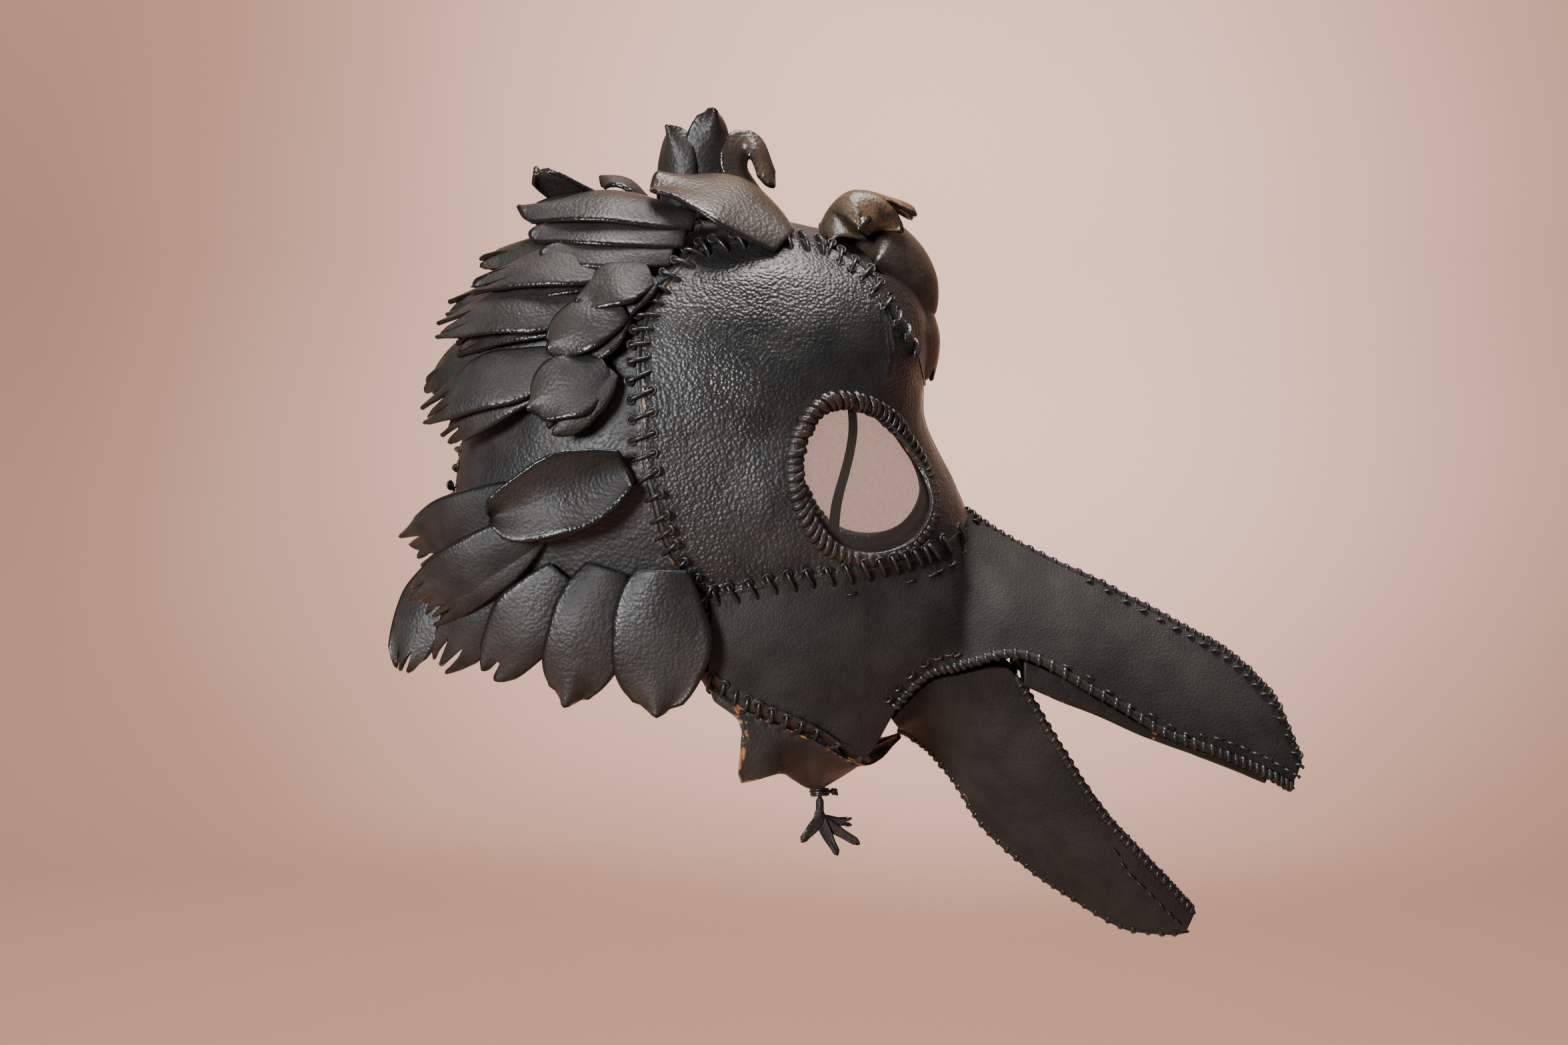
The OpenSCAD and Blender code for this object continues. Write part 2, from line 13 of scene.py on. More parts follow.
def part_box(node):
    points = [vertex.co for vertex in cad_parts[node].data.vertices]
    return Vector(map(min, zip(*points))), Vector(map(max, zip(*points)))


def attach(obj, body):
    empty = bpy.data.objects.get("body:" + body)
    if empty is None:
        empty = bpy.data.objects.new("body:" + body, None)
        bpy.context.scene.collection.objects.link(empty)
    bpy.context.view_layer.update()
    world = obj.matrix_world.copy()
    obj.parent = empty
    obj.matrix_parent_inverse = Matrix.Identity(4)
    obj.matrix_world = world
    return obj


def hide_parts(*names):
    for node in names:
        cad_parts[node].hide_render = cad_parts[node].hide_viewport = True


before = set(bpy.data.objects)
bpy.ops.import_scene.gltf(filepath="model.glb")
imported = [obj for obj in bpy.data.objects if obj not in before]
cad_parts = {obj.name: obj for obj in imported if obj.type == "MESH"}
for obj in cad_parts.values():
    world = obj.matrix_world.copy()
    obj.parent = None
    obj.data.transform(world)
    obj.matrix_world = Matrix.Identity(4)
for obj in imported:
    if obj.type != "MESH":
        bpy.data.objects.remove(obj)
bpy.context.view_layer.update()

MM = 0.001


# ---------------------------------------------------------------- side panels
# One piece of black pebble-grained cowhide on each side of the head, with the eye cut out of its front edge.
# It is moulded wet over the head form, dyed, waxed, and laced to its neighbours through a row of punched holes.

class Value:
    """A shader socket that takes part in plain sums, each of which adds its Math node."""

    def __init__(self, finish, socket):
        self.finish, self.socket = finish, socket

    def sum(self, operation, *terms):
        return self.finish.node("Math", {"operation": operation}, terms)

    def __add__(self, other): return self.sum("ADD", self, other)
    def __radd__(self, other): return self.sum("ADD", other, self)
    def __sub__(self, other): return self.sum("SUBTRACT", self, other)
    def __rsub__(self, other): return self.sum("SUBTRACT", other, self)
    def __mul__(self, other): return self.sum("MULTIPLY", self, other)
    def __rmul__(self, other): return self.sum("MULTIPLY", other, self)
    def __truediv__(self, other): return self.sum("DIVIDE", self, other)
    def __rtruediv__(self, other): return self.sum("DIVIDE", other, self)
    def __pow__(self, other): return self.sum("POWER", self, other)

    def sine(self): return self.sum("SINE", self)

    def between(self, low, high):
        """0 below low, 1 above high, and smooth in between."""
        return self.finish.node("MapRange", {"interpolation_type": "SMOOTHSTEP"},
                                {"Value": self, "From Min": low, "From Max": high})


class Finish:
    """A material under construction."""

    def __init__(self, name):
        self.material = bpy.data.materials.new(name)
        self.material.use_nodes = True
        self.tree = self.material.node_tree
        self.tree.nodes.clear()

    def node(self, kind, settings=None, sockets=(), output=0):
        made = self.tree.nodes.new("ShaderNode" + kind)
        for key, setting in (settings or {}).items():
            setattr(made, key, setting)
        for key, value in sockets.items() if isinstance(sockets, dict) else enumerate(sockets):
            if isinstance(value, Value):
                self.tree.links.new(value.socket, made.inputs[key])
            else:
                made.inputs[key].default_value = value
        return Value(self, made.outputs[output]) if made.outputs else None

    def mix(self, share, low, high):
        """A colour between low and high."""
        low, high = [c if isinstance(c, Value) else (*c, 1) for c in (low, high)]
        return self.node("Mix", {"data_type": "RGBA"}, {0: share, 6: low, 7: high}, 2)

    def noise(self, scale, detail=3, roughness=0.55):
        where = self.node("TexCoord", output="Object")
        return self.node("TexNoise", {},
                         {"Vector": where, "Scale": scale, "Detail": detail, "Roughness": roughness})

    def pebbles(self, size):
        """Distance from the middle of each pebble of the grain."""
        where = self.node("TexCoord", output="Object")
        return self.node("TexVoronoi", {"feature": "SMOOTH_F1"},
                         {"Vector": where, "Scale": 1 / size, "Smoothness": 0.35})

    def painted(self, name):
        """A value that is painted on the mesh."""
        return self.node("Attribute", {"attribute_name": name}, output="Fac")

    def surface(self, colour, rough, height=None, depth=0.0003, metal=0.0, coat=0.0, alpha=1.0, fixed=None):
        sockets = {"Base Color": colour if isinstance(colour, Value) else (*colour, 1), "Roughness": rough,
                   "Metallic": metal, "Coat Weight": coat, "Alpha": alpha, **(fixed or {})}
        if height is not None:
            sockets["Normal"] = self.node("Bump", {}, {"Strength": 1.0, "Distance": depth, "Height": height})
        shader = self.node("BsdfPrincipled", {}, sockets)
        self.node("OutputMaterial", {}, {"Surface": shader})
        return self.material


def leather(name, dark, light, grain=1.9, depth=0.35, rough=0.46, spread=0.25, edge=(0.03, 0.027, 0.025),
            edge_rough=0.3, tan=0.0, rub=0.0, coat=0.0, shine=0.5):
    """Dyed leather: pebbles of a grain and depth in millimetres, mottled dye, burnished or tan cut edges."""
    f = Finish(name)
    dye = f.noise(42, 4, 0.6)
    wax = f.noise(16, 2, 0.5)
    pores = f.noise(1500, 2, 0.6)
    creases = f.noise(260, 4, 0.65)
    pebble = f.pebbles(grain * MM)
    cut = f.painted("edge")
    colour = f.mix(dye.between(0.36, 0.66), dark, light)
    if rub:
        worn = f.painted("rub") * f.noise(90, 5, 0.7).between(0.36, 0.62)
        colour = f.mix(worn * rub, colour, (0.26, 0.135, 0.06))
    colour = f.mix(cut.between(0.35, 0.9), colour, edge)
    if tan:
        raw = cut.between(0.3, 0.7) * f.noise(95, 3, 0.7).between(0.66 - tan, 0.72 - tan)
        colour = f.mix(raw, colour, (0.34, 0.15, 0.055))
    polish = wax.between(0.3, 0.7) * spread
    gloss = rough + spread * 0.5 - polish + (pores - 0.5) * 0.22
    gloss = gloss * (1 - cut) + cut * edge_rough
    height = (1 - pebble) * 0.85 + creases * 0.4 + pores * 0.22
    return f.surface(colour, gloss, height, depth * MM, coat=coat, fixed={"Specular IOR Level": shine})


def clean_copy(node):
    """The node's mesh with its loose triangles merged back to four-sided faces."""
    bm = bmesh.new()
    bm.from_mesh(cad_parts[node].data)
    bmesh.ops.remove_doubles(bm, verts=bm.verts, dist=0.004 * MM)
    bmesh.ops.join_triangles(bm, faces=bm.faces[:], angle_face_threshold=math.radians(38),
                             angle_shape_threshold=math.pi)
    return bm


LACINGS = [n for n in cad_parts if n.endswith("_lacing") or "_lacing_" in n]


def stitches_of(node):
    """Middle, direction and length of each stitch that the node holds."""
    bm = bmesh.new()
    bm.from_mesh(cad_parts[node].data)
    bmesh.ops.remove_doubles(bm, verts=bm.verts, dist=0.004 * MM)
    left, found = set(bm.verts), []
    while left:
        heap, island = [left.pop()], []
        while heap:
            v = heap.pop()
            island.append(v.co[:])
            for e in v.link_edges:
                other = e.other_vert(v)
                if other in left:
                    left.remove(other)
                    heap.append(other)
        co = np.array(island)
        middle = co.mean(0)
        axis = np.linalg.svd(co - middle, full_matrices=False)[2][0]
        spread = (co - middle) @ axis
        found.append((Vector(middle), Vector(axis), float(spread.max() - spread.min())))
    bm.free()
    return sorted(found, key=lambda s: s[0][:])


STITCHES = {n: stitches_of(n) for n in LACINGS}
hole_tree = KDTree(sum(len(s) for s in STITCHES.values()) * 2)
count = 0
for rows in STITCHES.values():
    for middle, axis, length in rows:
        for way in (-1, 1):
            hole_tree.insert(middle + axis * way * length * 0.45, count)
            count += 1
hole_tree.balance()


def give(p, amount=1.0):
    """How far soft leather has moved from its pattern at the point p: slow swells and small puckers."""
    out = Vector((p.x * 0.8, p.y * 1.7, p.z)).normalized()
    if p.x > 0.13:
        out = Vector((0, p.y, 0.02)).normalized()
    swell = noise.noise(p * 26) * 1.3 + noise.noise(p * 62) * 0.55
    return out * swell * MM * amount


def leather_panel(node, material, levels=3, swell=1.0, welt=0.9, pucker=0.9, shape=None):
    """A leather piece cut to the node's outline, with rounded edges, swells, and dimples at its stitch holes."""
    bm = clean_copy(node)
    crease = bm.edges.layers.float.new("crease_edge")
    rim = []
    for e in bm.edges:
        if len(e.link_faces) == 2 and e.calc_face_angle(0) > math.radians(50):
            e[crease] = 0.72
            rim += [e.verts[0].co.lerp(e.verts[1].co, k / 6) for k in range(7)]
    mesh = bpy.data.meshes.new(node + "_leather")
    bm.to_mesh(mesh)
    bm.free()
    piece = bpy.data.objects.new(node + "_leather", mesh)
    bpy.context.scene.collection.objects.link(piece)
    smooth = piece.modifiers.new("smooth", "SUBSURF")
    smooth.levels = smooth.render_levels = levels
    done = bpy.data.meshes.new_from_object(piece.evaluated_get(bpy.context.evaluated_depsgraph_get()))
    piece.modifiers.clear()
    piece.data = done
    rim_tree = KDTree(len(rim))
    for i, p in enumerate(rim):
        rim_tree.insert(p, i)
    rim_tree.balance()
    painted = done.attributes.new("edge", "FLOAT", "POINT")
    shade = []
    for v in done.vertices:
        p = v.co.copy()
        off = rim_tree.find(p)[2] / MM
        hole = hole_tree.find(p)[2] / MM
        out = Vector((p.x * 0.8, p.y * 1.7, p.z)).normalized()
        v.co = p + give(p, swell) + out * MM * (welt * math.exp(-(off / 3.2) ** 2)
                                                - pucker * math.exp(-(hole / 1.7) ** 2))
        if shape:
            v.co = v.co + shape(p)
        shade.append(math.exp(-(off / 1.1) ** 2))
    painted.data.foreach_set("value", shade)
    done.shade_smooth()
    done.materials.clear()
    done.materials.append(material)
    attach(piece, "hood")
    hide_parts(node)
    return piece


hood_black = leather("hood_black", (0.0095, 0.0095, 0.009), (0.019, 0.018, 0.017), grain=1.7, depth=0.5,
                     rough=0.35, spread=0.2, tan=0.05, shine=0.5)
for side in ("right", "left"):
    leather_panel("side_panel_" + side, hood_black)

# ---------------------------------------------------------------- forehead, crown and back panels
# Flat-cut leather over the brow, the crown and the back of the head, closed by a seam down the middle of the
# nape. Most of it lies under the petals, and it is greyer and less waxed than the side panels.
hood_grey = leather("hood_grey", (0.011, 0.0105, 0.01), (0.022, 0.0205, 0.019), grain=2.0, depth=0.42,
                    rough=0.5, spread=0.2, tan=0.06, shine=0.4)
leather_panel("forehead_panel", hood_black)
leather_panel("crown_panel", hood_grey)
for side in ("right", "left"):
    leather_panel("back_panel_" + side, hood_grey)

# ---------------------------------------------------------------- upper and lower beak
# Cheek and upper beak are one piece on each side, joined along the ridge. The palate closes the upper beak from
# below, and two keel pieces with a tongue piece make the lower beak. This leather is matt, with a fine nap.
beak_black = leather("beak_black", (0.012, 0.0105, 0.0088), (0.021, 0.0185, 0.016), grain=1.3, depth=0.24,
                     rough=0.66, spread=0.12, edge=(0.012, 0.011, 0.01), edge_rough=0.5, tan=0.02, shine=0.3)
for side in ("right", "left"):
    leather_panel("cheek_beak_panel_" + side, beak_black, welt=0.5)
    leather_panel("lower_beak_panel_" + side, beak_black, welt=0.5)
leather_panel("palate_panel", beak_black, levels=2, welt=0)
leather_panel("tongue_panel", beak_black, welt=0)

# ---------------------------------------------------------------- throat
# Two soft gussets hang below the jaw and are gathered into a thonged tie. Their raw rear edge curls outwards and
# shows the tan flesh side of the hide.
throat_black = leather("throat_black", (0.014, 0.012, 0.0105), (0.027, 0.023, 0.02), grain=1.5, depth=0.3,
                       rough=0.55, spread=0.15, tan=0.15, shine=0.4)


def throat_folds(p):
    """Soft folds that run together towards the tie."""
    towards = math.atan2(p.z + 0.19, p.x - 0.063)
    near = max(0.0, 1 - abs(p.z + 0.165) / 0.045)
    return Vector((0, math.copysign(1, p.y), 0)) * MM * 1.6 * near * math.sin(towards * 9)


for side in ("right", "left"):
    leather_panel("throat_panel_" + side, throat_black, swell=1.4, shape=throat_folds)

# ---------------------------------------------------------------- eye nets and inner strap
# Fine dark woven net is sewn behind each eye opening, so that the wearer sees out and is not seen. A narrow
# leather strap inside the hood shows through it as a dark curve.
def woven_net(name, pitch=1.0):
    """Threads that cross on the slant, with light between them."""
    f = Finish(name)
    turned = f.node("Mapping", {}, {"Vector": f.node("TexCoord", output="Object"),
                                    "Rotation": (0, math.radians(32), 0), "Scale": (1, 0, 1)})
    along = f.node("SeparateXYZ", {}, {0: turned}, 0)
    down = f.node("SeparateXYZ", {}, {0: turned}, 2)
    turn = 2 * math.pi / (pitch * MM)
    thread = ((along * turn).sine() ** 2) * 0.5 + ((down * turn * 0.5).sine() ** 2) * 0.5
    return f.surface((0.06, 0.048, 0.044), 0.6, thread, 0.0001, alpha=thread * 0.2 + 0.16)


net = woven_net("eye_net")
strap_black = leather("strap_black", (0.008, 0.007, 0.007), (0.014, 0.012, 0.012), grain=1.2, depth=0.2,
                      rough=0.5)
for side in ("right", "left"):
    leather_panel("eye_screen_" + side, net, levels=1, welt=0, pucker=0)
leather_panel("inner_strap", strap_black, levels=2, welt=0, pucker=0, swell=0)

# ---------------------------------------------------------------- whipped eye rims
# A narrow thong is wound round and round the cut edge of each eye opening over a soft core, each turn slanting
# over the last, so that the rim looks like a thin rope. The black thong is mottled at random with copper, which is
# a painted coppery highlight.
HEAD_RADII = (113, 128, 113, 97, 95, 99, 111, 135, 185, 250, 215, 166)
ROUNDNESS = 2.3
NECK_START, NECK_DROP = -22, 120
HEAD_WIDTH, NECK_WIDTH = 172, 144
LEATHER = 2.2
EYE = (84, -22)
EYE_RADII = (27, 23, 25, 31, 37, 34, 31, 31, 34, 36, 37, 34)
RIM_WIDTH, RIM_DEPTH = 8.5, 6.5


def spline4(a, b, c, d, t):
    return 0.5 * (2 * b + (c - a) * t + (2 * a - 5 * b + 4 * c - d) * t * t + (3 * b - a - 3 * c + d) * t ** 3)


def curve(points, t):
    """Point at t from 0 to 1 on a smooth curve through the points."""
    last = len(points) - 1
    k = max(0, min(last - 1, math.floor(t * last)))
    near = [points[max(0, min(last, k + i))] for i in (-1, 0, 1, 2)]
    return spline4(*near, t * last - k)


def ring_value(radii, angle):
    """Value in degrees direction on a closed curve through equally spaced values."""
    n = len(radii)
    s = (angle / 360 % 1) * n
    k = int(s)
    return spline4(radii[(k - 1) % n], radii[k % n], radii[(k + 1) % n], radii[(k + 2) % n], s - k)


def place(x, z):
    """A place on the hood, from its side view."""
    angle = math.atan2(z, x)
    reach = min(1.0, math.hypot(x, z) / ring_value(HEAD_RADII, math.degrees(angle)))
    share = math.degrees(math.asin(reach ** (ROUNDNESS / 2))) / 90
    return share * math.cos(angle), share * math.sin(angle)


def on_middle(angle):
    return math.cos(math.radians(angle)), math.sin(math.radians(angle))


def lift(f, d):
    """The point at a place on the hood, raised by d millimetres from the inside of the leather."""
    q, angle = math.hypot(*f), math.atan2(f[1], f[0])
    s, c = math.sin(q * math.pi / 2), math.cos(q * math.pi / 2)
    r = (ring_value(HEAD_RADII, math.degrees(angle)) + d) * abs(s) ** (2 / ROUNDNESS)
    z = r * math.sin(angle)
    neck = max(0.0, min(1.0, (NECK_START - z) / NECK_DROP))
    half = (HEAD_WIDTH - (HEAD_WIDTH - NECK_WIDTH) * neck * neck * (3 - 2 * neck)) / 2
    return np.array((r * math.cos(angle), -(half + d) * math.copysign(abs(c) ** (2 / ROUNDNESS), c), z))


def unit(v):
    return v / np.linalg.norm(v)


def outward(f):
    return unit(lift(f, 4) - lift(f, 0))


def eye_edge(angle, d=0.0):
    r = ring_value(EYE_RADII, angle) + d
    return place(EYE[0] + r * math.cos(math.radians(angle)), EYE[1] + r * math.sin(math.radians(angle)))


def sprig(name):
    """An empty node tree for pieces that repeat."""
    tree = bpy.data.node_groups.new(name, "GeometryNodeTree")
    tree.interface.new_socket("Geometry", in_out="INPUT", socket_type="NodeSocketGeometry")
    tree.interface.new_socket("Geometry", in_out="OUTPUT", socket_type="NodeSocketGeometry")
    return tree


def size_input(tree, name, kind, value=None):
    socket = tree.interface.new_socket(name, in_out="INPUT", socket_type="NodeSocket" + kind)
    if value is not None:
        socket.default_value = value


def step(tree, kind, settings=None, sockets=()):
    """Adds one node with its settings and its sockets' values or links, and returns its outputs."""
    made = tree.nodes.new(kind)
    for key, setting in (settings or {}).items():
        setattr(made, key, setting)
    for key, value in sockets.items() if isinstance(sockets, dict) else enumerate(sockets):
        if isinstance(value, bpy.types.NodeSocket):
            tree.links.new(value, made.inputs[key])
        elif isinstance(value, (list, set)):
            for each in value:
                tree.links.new(each, made.inputs[key])
        else:
            made.inputs[key].default_value = value
    return made.outputs


def attribute(tree, name, kind="FLOAT_VECTOR"):
    return step(tree, "GeometryNodeInputNamedAttribute", {"data_type": kind}, {0: name})[0]


def scatter(tree, one, given, slant):
    """Puts one shape at every point, x along "across" and z along "out", then makes it real."""
    points = given["Geometry"]
    turn = step(tree, "FunctionNodeAlignRotationToVector", {"axis": "Z"}, {"Vector": attribute(tree, "out")})[0]
    turn = step(tree, "FunctionNodeAlignRotationToVector", {"axis": "X", "pivot_axis": "Z"},
                {"Rotation": turn, "Vector": attribute(tree, "across")})[0]
    wobble = step(tree, "FunctionNodeRandomValue", {"data_type": "FLOAT"},
                  {2: -0.12, 3: 0.12, "Seed": given["Seed"]})[1]
    angle = step(tree, "ShaderNodeMath", {"operation": "ADD"}, (slant, wobble))[0]
    spin = step(tree, "ShaderNodeCombineXYZ", {}, {"Z": angle})[0]
    turn = step(tree, "FunctionNodeRotateRotation", {"rotation_space": "LOCAL"},
                {"Rotation": turn, "Rotate By": step(tree, "FunctionNodeEulerToRotation", {}, (spin,))[0]})[0]
    vary = step(tree, "FunctionNodeRandomValue", {"data_type": "FLOAT"},
                {2: 0.9, 3: 1.1, "Seed": given["Seed"]})[1]
    size = step(tree, "ShaderNodeMath", {"operation": "MULTIPLY"}, (vary, attribute(tree, "size", "FLOAT")))[0]
    spots = step(tree, "GeometryNodeInstanceOnPoints", {},
                 {"Points": points, "Instance": one, "Rotation": turn, "Scale": size})[0]
    real = step(tree, "GeometryNodeRealizeInstances", {}, (spots,))[0]
    step(tree, "NodeGroupOutput", {}, (real,))


def wound_turn():
    """One turn of flat thong round an oval core, leaning along it."""
    tree = sprig("wound_turn")
    for name, value in (("Core Width", 0.0085), ("Core Depth", 0.0065), ("Thong Width", 0.0034),
                        ("Thong Thickness", 0.0016), ("Slant", 0.4)):
        size_input(tree, name, "Float", value)
    size_input(tree, "Seed", "Int", 3)
    size_input(tree, "Thong", "Material")
    given = step(tree, "NodeGroupInput")
    half = lambda a: step(tree, "ShaderNodeMath", {"operation": "MULTIPLY"}, (a, 0.5))[0]
    oval = step(tree, "GeometryNodeCurvePrimitiveCircle", {"mode": "RADIUS"},
                {"Resolution": 14, "Radius": 1.0})[0]
    shape = step(tree, "ShaderNodeCombineXYZ", {},
                 (half(given["Core Width"]), half(given["Core Depth"]), 1.0))[0]
    oval = step(tree, "GeometryNodeTransform", {}, {"Geometry": oval, "Scale": shape})[0]
    oval = step(tree, "GeometryNodeTransform", {}, {"Geometry": oval, "Rotation": (math.pi / 2, 0, 0)})[0]
    band = step(tree, "GeometryNodeCurvePrimitiveCircle", {"mode": "RADIUS"},
                {"Resolution": 7, "Radius": 1.0})[0]
    flat = step(tree, "ShaderNodeCombineXYZ", {},
                (half(given["Thong Thickness"]), half(given["Thong Width"]), 1.0))[0]
    band = step(tree, "GeometryNodeTransform", {}, {"Geometry": band, "Scale": flat})[0]
    loop = step(tree, "GeometryNodeCurveToMesh", {}, (oval, band))[0]
    loop = step(tree, "GeometryNodeSetShadeSmooth", {}, (loop,))[0]
    loop = step(tree, "GeometryNodeSetMaterial", {}, {"Geometry": loop, "Material": given["Thong"]})[0]
    scatter(tree, loop, given, given["Slant"])
    return tree


def from_points(name, tree, spots, inputs, body="hood", shade=0.0):
    """Runs a tree on points of (place, across, out, size) in metres and keeps the plain mesh that it makes."""
    mesh = bpy.data.meshes.new(name)
    mesh.from_pydata([tuple(s[0]) for s in spots], [], [])
    for key, column in (("across", 1), ("out", 2)):
        layer = mesh.attributes.new(key, "FLOAT_VECTOR", "POINT")
        layer.data.foreach_set("vector", [x for s in spots for x in s[column]])
    sizes = [s[3] if len(s) > 3 else 1.0 for s in spots]
    mesh.attributes.new("size", "FLOAT", "POINT").data.foreach_set("value", sizes)
    piece = bpy.data.objects.new(name, mesh)
    bpy.context.scene.collection.objects.link(piece)
    maker = piece.modifiers.new("maker", "NODES")
    maker.node_group = tree
    sockets = {s.name: s.identifier for s in tree.interface.items_tree if s.in_out == "INPUT"}
    for key, value in inputs.items():
        maker[sockets[key]] = value
    done = bpy.data.meshes.new_from_object(piece.evaluated_get(bpy.context.evaluated_depsgraph_get()))
    piece.modifiers.clear()
    piece.data = done
    for key in [a.name for a in done.attributes if a.name in ("across", "out", "size")]:
        done.attributes.remove(done.attributes[key])
    layer = done.attributes.new("edge", "FLOAT", "POINT")
    layer.data.foreach_set("value", [shade] * len(done.vertices))
    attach(piece, body)
    return piece


# Black thong leather whose lighter copper tone, mottled at random, is a painted highlight.
rim_thong = leather("rim_thong", (0.009, 0.008, 0.0072), (0.034, 0.021, 0.0155), grain=1.4, depth=0.3,
                    rough=0.33, spread=0.2)
core_black = leather("core_black", (0.008, 0.007, 0.0065), (0.014, 0.012, 0.011), grain=1.3, depth=0.2,
                     rough=0.5)
wrap = wound_turn()


def core_shape(p):
    """The soft core is thinner towards the beak, where the leather lies flat."""
    return Vector((0, math.copysign(1, p.y), 0)) * MM * -1.6 * max(0.0, min(1.0, (p.x - 0.09) / 0.02))


TURN_PITCH = 4.1
for side, mirror in (("right", 1), ("left", -1)):
    leather_panel("eye_rim_" + side, core_black, levels=1, welt=0, pucker=0, shape=core_shape)
    ring = [lift(eye_edge(a, RIM_WIDTH / 2 - 1), LEATHER / 2) for a in range(0, 360, 2)]
    around = sum(np.linalg.norm(ring[i] - ring[i - 1]) for i in range(len(ring)))
    spots, gone, turns = [], 0.0, round(around / TURN_PITCH)
    for i in range(len(ring)):
        gone += np.linalg.norm(ring[i] - ring[i - 1])
        if gone * turns / around >= len(spots) and len(spots) < turns:
            f = eye_edge(2 * i, RIM_WIDTH / 2 - 1)
            n = outward(f)
            along = unit(ring[(i + 1) % len(ring)] - ring[i - 1])
            flip = np.array((1, mirror, 1))
            where = Vector(ring[i] * flip) * MM
            shrink = 1 - 0.42 * max(0.0, math.cos(math.radians(2 * i + 28))) ** 0.7
            spots.append((where + give(where), unit(np.cross(along, n)) * flip, n * flip, shrink))
    whip = from_points("eye_whip_" + side, wrap, spots, {
        "Core Width": (RIM_WIDTH + 0.6) * MM, "Core Depth": (RIM_DEPTH + 0.6) * MM, "Slant": 0.42 * mirror,
        "Seed": 3, "Thong": rim_thong})

# ---------------------------------------------------------------- lacing
# Waxed black thong, about 2 mm thick, goes over each seam and down through a hole on either side of it. The holes
# were punched with a round punch and have stretched, so each has a small puckered lip.
# Each hole shows a near-black disc of painted shade, for the shade inside the punched hole.
PANELS = ("side_panel", "back_panel", "cheek_beak_panel", "lower_beak_panel", "throat_panel")
solid = bmesh.new()
MIDDLE_PANELS = ["forehead_panel", "crown_panel", "palate_panel", "tongue_panel"]
for node in [p + s for p in PANELS for s in ("_right", "_left")] + MIDDLE_PANELS:
    solid.from_mesh(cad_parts[node].data)
hide = BVHTree.FromBMesh(solid)
solid.free()


def facing(p, guess):
    """Outward direction of the leather at p."""
    total = Vector(guess) * 0.15
    for _, normal, _, far in hide.find_nearest_range(p, 5.5 * MM):
        if normal.dot(guess) > 0.1:
            total += normal / (1 + (far / MM) ** 2)
    return total.normalized()


def laced_stitch():
    """One stitch: an arched thong between two punched holes with puckered lips, each hole filled by a dark disc of
    painted shade.
    """
    tree = sprig("laced_stitch")
    for name, value in (("Length", 0.0085), ("Thong Width", 0.0026), ("Thong Thickness", 0.0018),
                        ("Rise", 0.0016), ("Depth", 0.0014), ("Hole", 0.0015), ("Slant", 0.25)):
        size_input(tree, name, "Float", value)
    size_input(tree, "Seed", "Int", 5)
    for name in ("Thong", "Lip", "Dark"):
        size_input(tree, name, "Material")
    given = step(tree, "NodeGroupInput")
    times = lambda a, b: step(tree, "ShaderNodeMath", {"operation": "MULTIPLY"}, (a, b))[0]
    spot = lambda x, z: step(tree, "ShaderNodeCombineXYZ", {}, {"X": x, "Z": z})[0]
    arch = step(tree, "GeometryNodeCurvePrimitiveBezierSegment", {"mode": "POSITION"}, {
        "Resolution": 8, "Start": spot(times(given["Length"], -0.5), times(given["Depth"], -1.0)),
        "Start Handle": spot(times(given["Length"], -0.42), times(given["Rise"], 1.5)),
        "End Handle": spot(times(given["Length"], 0.42), times(given["Rise"], 1.5)),
        "End": spot(times(given["Length"], 0.5), times(given["Depth"], -1.0))})[0]
    band = step(tree, "GeometryNodeCurvePrimitiveCircle", {"mode": "RADIUS"},
                {"Resolution": 7, "Radius": 0.5})[0]
    flat = step(tree, "ShaderNodeCombineXYZ", {}, (given["Thong Thickness"], given["Thong Width"], 1.0))[0]
    band = step(tree, "GeometryNodeTransform", {}, {"Geometry": band, "Scale": flat})[0]
    thong = step(tree, "GeometryNodeCurveToMesh", {}, {0: arch, 1: band, "Fill Caps": True})[0]
    thong = step(tree, "GeometryNodeSetShadeSmooth", {}, (thong,))[0]
    thong = step(tree, "GeometryNodeSetMaterial", {}, {"Geometry": thong, "Material": given["Thong"]})[0]
    ring = step(tree, "GeometryNodeCurvePrimitiveCircle", {"mode": "RADIUS"},
                {"Resolution": 12, "Radius": given["Hole"]})[0]
    bead = step(tree, "GeometryNodeCurvePrimitiveCircle", {"mode": "RADIUS"},
                {"Resolution": 5, "Radius": times(given["Hole"], 0.3)})[0]
    lip = step(tree, "GeometryNodeCurveToMesh", {}, (ring, bead))[0]
    lip = step(tree, "GeometryNodeSetShadeSmooth", {}, (lip,))[0]
    lip = step(tree, "GeometryNodeSetMaterial", {}, {"Geometry": lip, "Material": given["Lip"]})[0]
    # A dark disc in the hole is painted shade, for the shade inside the punched hole.
    dark = step(tree, "GeometryNodeMeshCircle", {"fill_type": "NGON"},
                {"Vertices": 12, "Radius": given["Hole"]})[0]
    dark = step(tree, "GeometryNodeSetMaterial", {}, {"Geometry": dark, "Material": given["Dark"]})[0]
    hole = step(tree, "GeometryNodeJoinGeometry", {}, ([lip, dark],))[0]
    ends = [step(tree, "GeometryNodeTransform", {}, {"Geometry": hole, "Translation": spot(
        times(given["Length"], k), times(given["Depth"], -0.1))})[0] for k in (-0.47, 0.47)]
    one = step(tree, "GeometryNodeJoinGeometry", {}, ([thong, *ends],))[0]
    scatter(tree, one, given, given["Slant"])
    return tree


thong_black = leather("thong_black", (0.009, 0.0082, 0.0078), (0.019, 0.0165, 0.015), grain=1.1, depth=0.16,
                      rough=0.3, spread=0.12, coat=0.15)
lip_leather = leather("lip_leather", (0.0085, 0.008, 0.0075), (0.024, 0.017, 0.0125), grain=1.0, depth=0.15,
                      rough=0.4)
# Near-black material of the hole discs: painted shade inside each punched hole.
dark = Finish("hole_dark")
hole_dark = dark.surface((0.003, 0.0028, 0.0026), dark.noise(900) * 0.2 + 0.75)
stitch = laced_stitch()
